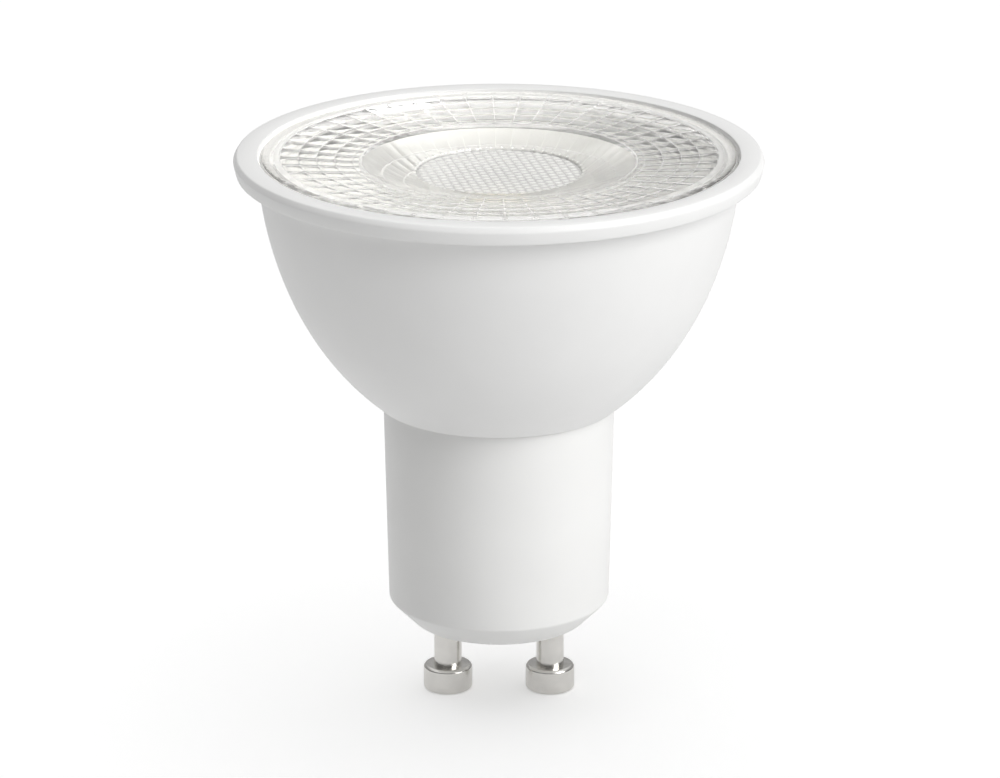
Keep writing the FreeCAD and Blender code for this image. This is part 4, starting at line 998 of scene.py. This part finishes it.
class BULB_OT_lens(bpy.types.Operator):
    """Clear lens with facets, dish, lenslets and fluted collimator"""

    bl_idname = "bulb.lens"
    bl_label = "Lens"

    def execute(self, context):
        shape = context.scene.bulb_lens
        bm = turned_shape(lens_outline(shape), shape.sectors * len(CELL_STEPS))
        bm.verts.layers.float.new(MARKS)
        gather_at_ridges(bm, shape)
        hollow_facets(bm, shape)
        groove_flutes(bm, shape)
        lay_lenslets(bm, shape)
        bmesh.ops.recalc_face_normals(bm, faces=bm.faces)
        self.share_out_faces(bm, shape)
        turn_round(bm, bm.verts, shape.turn)
        tint = context.scene.bulb_finishes.lens_tint
        finishes = [clear_plastic(name, tone, roughness, milk) for name, tone, roughness, milk in (
            ("lens_clear", tint, 0.0, shape.milk),
            ("lens_matt", tint, shape.matt_roughness, shape.matt_milk),
            ("lens_frosted", tint, shape.frost_roughness, shape.frost_milk),
            # Painted shade: the satin disc and the fluted side take a darker tone of the same clear plastic
            ("lens_satin", shade(tint, shape.disc_tone), shape.disc_roughness, shape.disc_milk),
            ("lens_fluted", shade(tint, shape.flute_tone), shape.flute_roughness, shape.flute_milk),
        )]
        finish_piece("clear_lens", bm, finishes, "clear_lens", "lens", sharp=20.0)
        return {"FINISHED"}

    def share_out_faces(self, bm, shape):
        """Give the underside, the cavity, the outer wall and the flutes their own finishes."""
        underside = LENS_HIGH.z - shape.plate
        dome_top = LENS_LOW.z + shape.cavity_height + shape.dome_height
        wall = LENS_HIGH.x - shape.edge_round * shape.frosted_edge
        for face in bm.faces:
            middle = face.calc_center_median()
            away = middle.to_2d().length
            if abs(middle.z - underside) < 2 * NEAR and away > shape.collimator_top - shape.flute:
                face.material_index = MATT
            elif away > wall or middle.z < dome_top and away < shape.cavity_radius:
                face.material_index = FROSTED
            elif middle.z < underside - 2 * NEAR:
                face.material_index = FLUTED


class BULB_OT_light_source(bpy.types.Operator):
    """LED packages, LED board, thermal pad, aluminium cup and screws"""

    bl_idname = "bulb.light_source"
    bl_label = "Light source"

    def execute(self, context):
        finishes = context.scene.bulb_finishes
        spun = turned_metal(
            "spun_aluminium", finishes.aluminium, roughness=0.62, pitch=0.35 * MM, depth=0.002 * MM,
            wave="RINGS", metallic=0.4,
        )
        pad = plastic("pad_silicone", finishes.pad, roughness=0.7, grain=0.3 * MM, depth=0.01 * MM)
        track = shade(finishes.board, TRACK_TONE)
        lacquer = circuit_board("board_lacquer", finishes.board, track, roughness=0.3, pitch=4.2 * MM)
        steel = turned_metal(
            "screw_steel", finishes.steel, roughness=0.28, pitch=0.12 * MM, depth=0.001 * MM
        )
        for name, node, slot, material in (
            ("aluminium_cup", "heat_spreader", "spun_aluminium", spun),
            ("silicone_pad", "thermal_pad", "grey_pad", pad),
            ("light_board", "led_board", "white_board", lacquer),
            ("cross_screws", "board_screws", "screw_steel", steel),
        ):
            finish_piece(name, merged_node(node), [material], slot, node)
        self.packages(context, finishes)
        return {"FINISHED"}

    def packages(self, context, finishes):
        """Seven white packages, each with a sunk yellow window."""
        shape = context.scene.bulb_packages
        body = plastic("package_white", finishes.package, roughness=0.35, grain=0.06 * MM)
        window = plastic(
            "package_phosphor", finishes.phosphor, roughness=0.25, grain=0.04 * MM, depth=0.003 * MM
        )
        spots = [(0.0, 0.0)]
        for turn in range(shape.ring_count):
            angle = FULL_TURN * turn / shape.ring_count
            spots.append((shape.ring_radius * math.cos(angle), shape.ring_radius * math.sin(angle)))
        bm = bmesh.new()
        half = Vector((shape.length / 2, shape.width / 2, 0))
        for x, y in spots:
            verts = add_box(bm, (x - half.x, y - half.y, LED_LOW.z), (x + half.x, y + half.y, LED_HIGH.z))
            lid = max({f for v in verts for f in v.link_faces}, key=lambda f: f.calc_center_median().z)
            bmesh.ops.inset_individual(bm, faces=[lid], thickness=shape.wall, depth=0.0)
            bmesh.ops.inset_individual(bm, faces=[lid], thickness=shape.sink, depth=-shape.sink)
            lid.material_index = 1
        finish_piece("light_packages", bm, [body, window], "led_package", "led_packages")


class BULB_OT_driver(bpy.types.Operator):
    """Driver board, its parts, its cap and the leads"""

    bl_idname = "bulb.driver"
    bl_label = "Driver"

    def execute(self, context):
        finishes = context.scene.bulb_finishes
        cap = plastic("cap_white", finishes.cap, roughness=0.45, grain=0.2 * MM, depth=0.004 * MM)
        lead = plastic("lead_insulation", finishes.lead, roughness=0.38, grain=0.25 * MM, depth=0.004 * MM)
        epoxy = moulded_package("package_epoxy", (0.035, 0.035, 0.036))
        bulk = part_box("bulk_capacitor")
        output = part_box("output_capacitor")
        dressings = {
            "driver_cap": ("white_base", cap),
            "driver_board": ("green_board", circuit_board(
                "board_green", (0.03, 0.17, 0.08), track=(0.06, 0.27, 0.13),
                roughness=0.35, pitch=2.4 * MM)),
            "bulk_capacitor": ("black_sleeve", sleeved_can(
                "sleeve_black", (0.03, 0.03, 0.035), bulk[1].x * STRIPE_FROM, side=1.0)),
            "output_capacitor": ("green_sleeve", sleeved_can(
                "sleeve_green", (0.05, 0.24, 0.14), output[1].x * STRIPE_FROM, side=-1.0)),
            "transformer_core": ("ferrite", fired_ferrite("ferrite_grey", (0.07, 0.07, 0.075))),
            "transformer_winding": ("winding_tape", ringed_body(
                "tape_yellow", (0.80, 0.62, 0.12), ring=(0.68, 0.50, 0.08),
                pitch=1.5 * MM, height=0.03 * MM, roughness=0.3)),
            "fuse_resistor": ("resistor_coat", ringed_body(
                "coat_blue_green", (0.16, 0.42, 0.40), ring=(0.12, 0.07, 0.04),
                pitch=1.55 * MM, height=0.01 * MM, roughness=0.4)),
            "film_capacitor": ("yellow_case", plastic(
                "case_yellow", (0.78, 0.60, 0.12), roughness=0.4, grain=0.22 * MM, depth=0.006 * MM)),
            "bridge_rectifier": ("black_epoxy", epoxy),
            "driver_ic": ("black_epoxy", epoxy),
            "freewheel_diode": ("black_epoxy", epoxy),
            "chip_resistors": ("chip_glaze", tinned_chip(
                "glaze_black", (0.05, 0.05, 0.06), ends_from=0.62, roughness=0.25)),
            "chip_capacitors": ("chip_ceramic", tinned_chip(
                "ceramic_brown", (0.45, 0.33, 0.22), ends_from=0.55, roughness=0.5)),
        }
        for node in ("pin_lead_left", "pin_lead_right", "led_lead_positive", "led_lead_negative"):
            dressings[node] = ("white_insulation", lead)
        for node, (slot, material) in dressings.items():
            bm = merged_node(node)
            measure_parts(bm)
            finish_piece(f"dressed_{node}", bm, [material], slot, node)
        return {"FINISHED"}


def stand(item, aim, side, height, distance):
    """Stand a camera or a lamp off to a side and at a height, so that it looks at a point."""
    away = Vector((math.sin(side) * math.cos(height), -math.cos(side) * math.cos(height), math.sin(height)))
    item.location = aim + away * distance
    item.rotation_euler = away.to_track_quat("Z", "Y").to_euler()


class BULB_OT_stage(bpy.types.Operator):
    """Camera, room light and pale floor"""

    bl_idname = "bulb.stage"
    bl_label = "Stage"

    def execute(self, context):
        stage = context.scene.bulb_stage
        scene = context.scene
        scene.view_settings.view_transform = "Standard"
        aim = Vector((stage.aim_side, 0, stage.aim_height))
        camera = add_object("camera", bpy.data.cameras.new("camera"))
        camera.data.lens = stage.focal_length
        camera.data.sensor_width = 36.0
        camera.data.clip_start = 0.01
        stand(camera, aim, 0.0, stage.elevation, stage.distance)
        scene.camera = camera
        self.room(scene, stage)
        floor = self.floor(stage)
        self.key(stage, aim, floor)
        return {"FINISHED"}

    def room(self, scene, stage):
        """A white backdrop, and room light that is strongest from behind and from above."""
        world = bpy.data.worlds.new("room")
        world.use_nodes = True
        tree = world.node_tree
        tree.nodes.clear()
        place = add_node(tree, "TexCoord").outputs["Generated"]
        axes = add_node(tree, "SeparateXYZ", {"Vector": place}).outputs
        total = stage.ambient
        for axis, reach, light in (("Y", BACK_REACH, stage.back_light), ("Z", TOP_REACH, stage.top_light)):
            part = map_over(tree, axes[axis], *reach, 0.0, light, interpolation_type="SMOOTHSTEP")
            total = reckon(tree, "ADD", part, total)
        lit = add_node(tree, "Background", {"Strength": total})
        white = add_node(tree, "Background", {"Color": (*WHITE, 1.0), "Strength": 1.0})
        path = add_node(tree, "LightPath").outputs
        seen = reckon(tree, "MAXIMUM", path["Is Camera Ray"], path["Is Transmission Ray"])
        mixed = add_node(tree, "MixShader", {
            0: seen, 1: lit.outputs["Background"], 2: white.outputs["Background"],
        })
        add_node(tree, "OutputWorld", {"Surface": mixed.outputs["Shader"]})
        scene.world = world

    def floor(self, stage):
        """A pale floor that shows white where nothing shades it."""
        material, tree, shader, output, _ = new_material("floor_paper")
        camera_ray = add_node(tree, "LightPath").outputs["Is Camera Ray"]
        feed(tree, shader, {
            "Base Color": mix_tones(tree, camera_ray, stage.floor_colour, WHITE),
            "Roughness": 0.9, "Specular IOR Level": 0.0,
        })
        glow = reckon(tree, "MULTIPLY_ADD", camera_ray, stage.floor_glow, stage.floor_key)
        shining = add_node(tree, "Emission", {"Strength": glow})
        both = add_node(tree, "AddShader", {0: shader.outputs["BSDF"], 1: shining.outputs["Emission"]})
        feed(tree, output, {"Surface": both.outputs["Shader"]})
        bm = bmesh.new()
        bmesh.ops.create_grid(bm, x_segments=1, y_segments=1, size=stage.floor_size / 2)
        floor = mesh_object("floor", bm, [material])
        return floor

    def key(self, stage, aim, floor):
        """A soft lamp to the right of the camera, which leaves the floor to the room's light."""
        lamp = add_object("key", bpy.data.lights.new("key", "AREA"))
        lamp.data.energy = stage.key_power
        lamp.data.size = stage.key_size
        lamp.visible_camera = False
        stand(lamp, aim, stage.key_side, stage.key_height, stage.key_distance)
        unlit = bpy.data.collections.new("not lit by the key")
        unlit.objects.link(floor)
        unlit.collection_objects[0].light_linking.link_state = "EXCLUDE"
        lamp.light_linking.receiver_collection = unlit


STEPS = (
    BULB_OT_stage, BULB_OT_cup, BULB_OT_neck, BULB_OT_pins, BULB_OT_lens, BULB_OT_light_source,
    BULB_OT_driver,
)
GROUPS = {
    "bulb_bowl": BowlShape,
    "bulb_neck": NeckShape,
    "bulb_pins": PinShape,
    "bulb_lens": LensShape,
    "bulb_packages": PackageShape,
    "bulb_finishes": Finishes,
    "bulb_stage": Stage,
}


class BULB_PT_panel(bpy.types.Panel):
    """Sizes, colours and steps of the bulb"""

    bl_idname = "BULB_PT_panel"
    bl_label = "Spotlight bulb"
    bl_space_type = "VIEW_3D"
    bl_region_type = "UI"
    bl_category = "Bulb"

    def draw(self, context):
        for step in STEPS:
            self.layout.operator(step.bl_idname)
        for name, group in GROUPS.items():
            box = self.layout.box()
            box.label(text=group.__doc__)
            for key in group.__annotations__:
                box.prop(getattr(context.scene, name), key)


def register():
    """Make the properties, operators and panel known, each property with its key as its name."""
    for group in GROUPS.values():
        for key, item in group.__annotations__.items():
            item.keywords["name"] = key.replace("_", " ").capitalize()
    for item in (*GROUPS.values(), *STEPS, BULB_PT_panel):
        bpy.utils.register_class(item)
    for name, group in GROUPS.items():
        setattr(bpy.types.Scene, name, PointerProperty(type=group))


def unregister():
    """Take them out again."""
    for name in GROUPS:
        delattr(bpy.types.Scene, name)
    for item in reversed((*GROUPS.values(), *STEPS, BULB_PT_panel)):
        bpy.utils.unregister_class(item)


def main():
    """Build the stage and every piece."""
    register()
    bpy.ops.bulb.stage()
    bpy.ops.bulb.cup()
    bpy.ops.bulb.neck()
    bpy.ops.bulb.pins()
    bpy.ops.bulb.lens()
    bpy.ops.bulb.light_source()
    bpy.ops.bulb.driver()


if __name__ == "__main__":
    main()
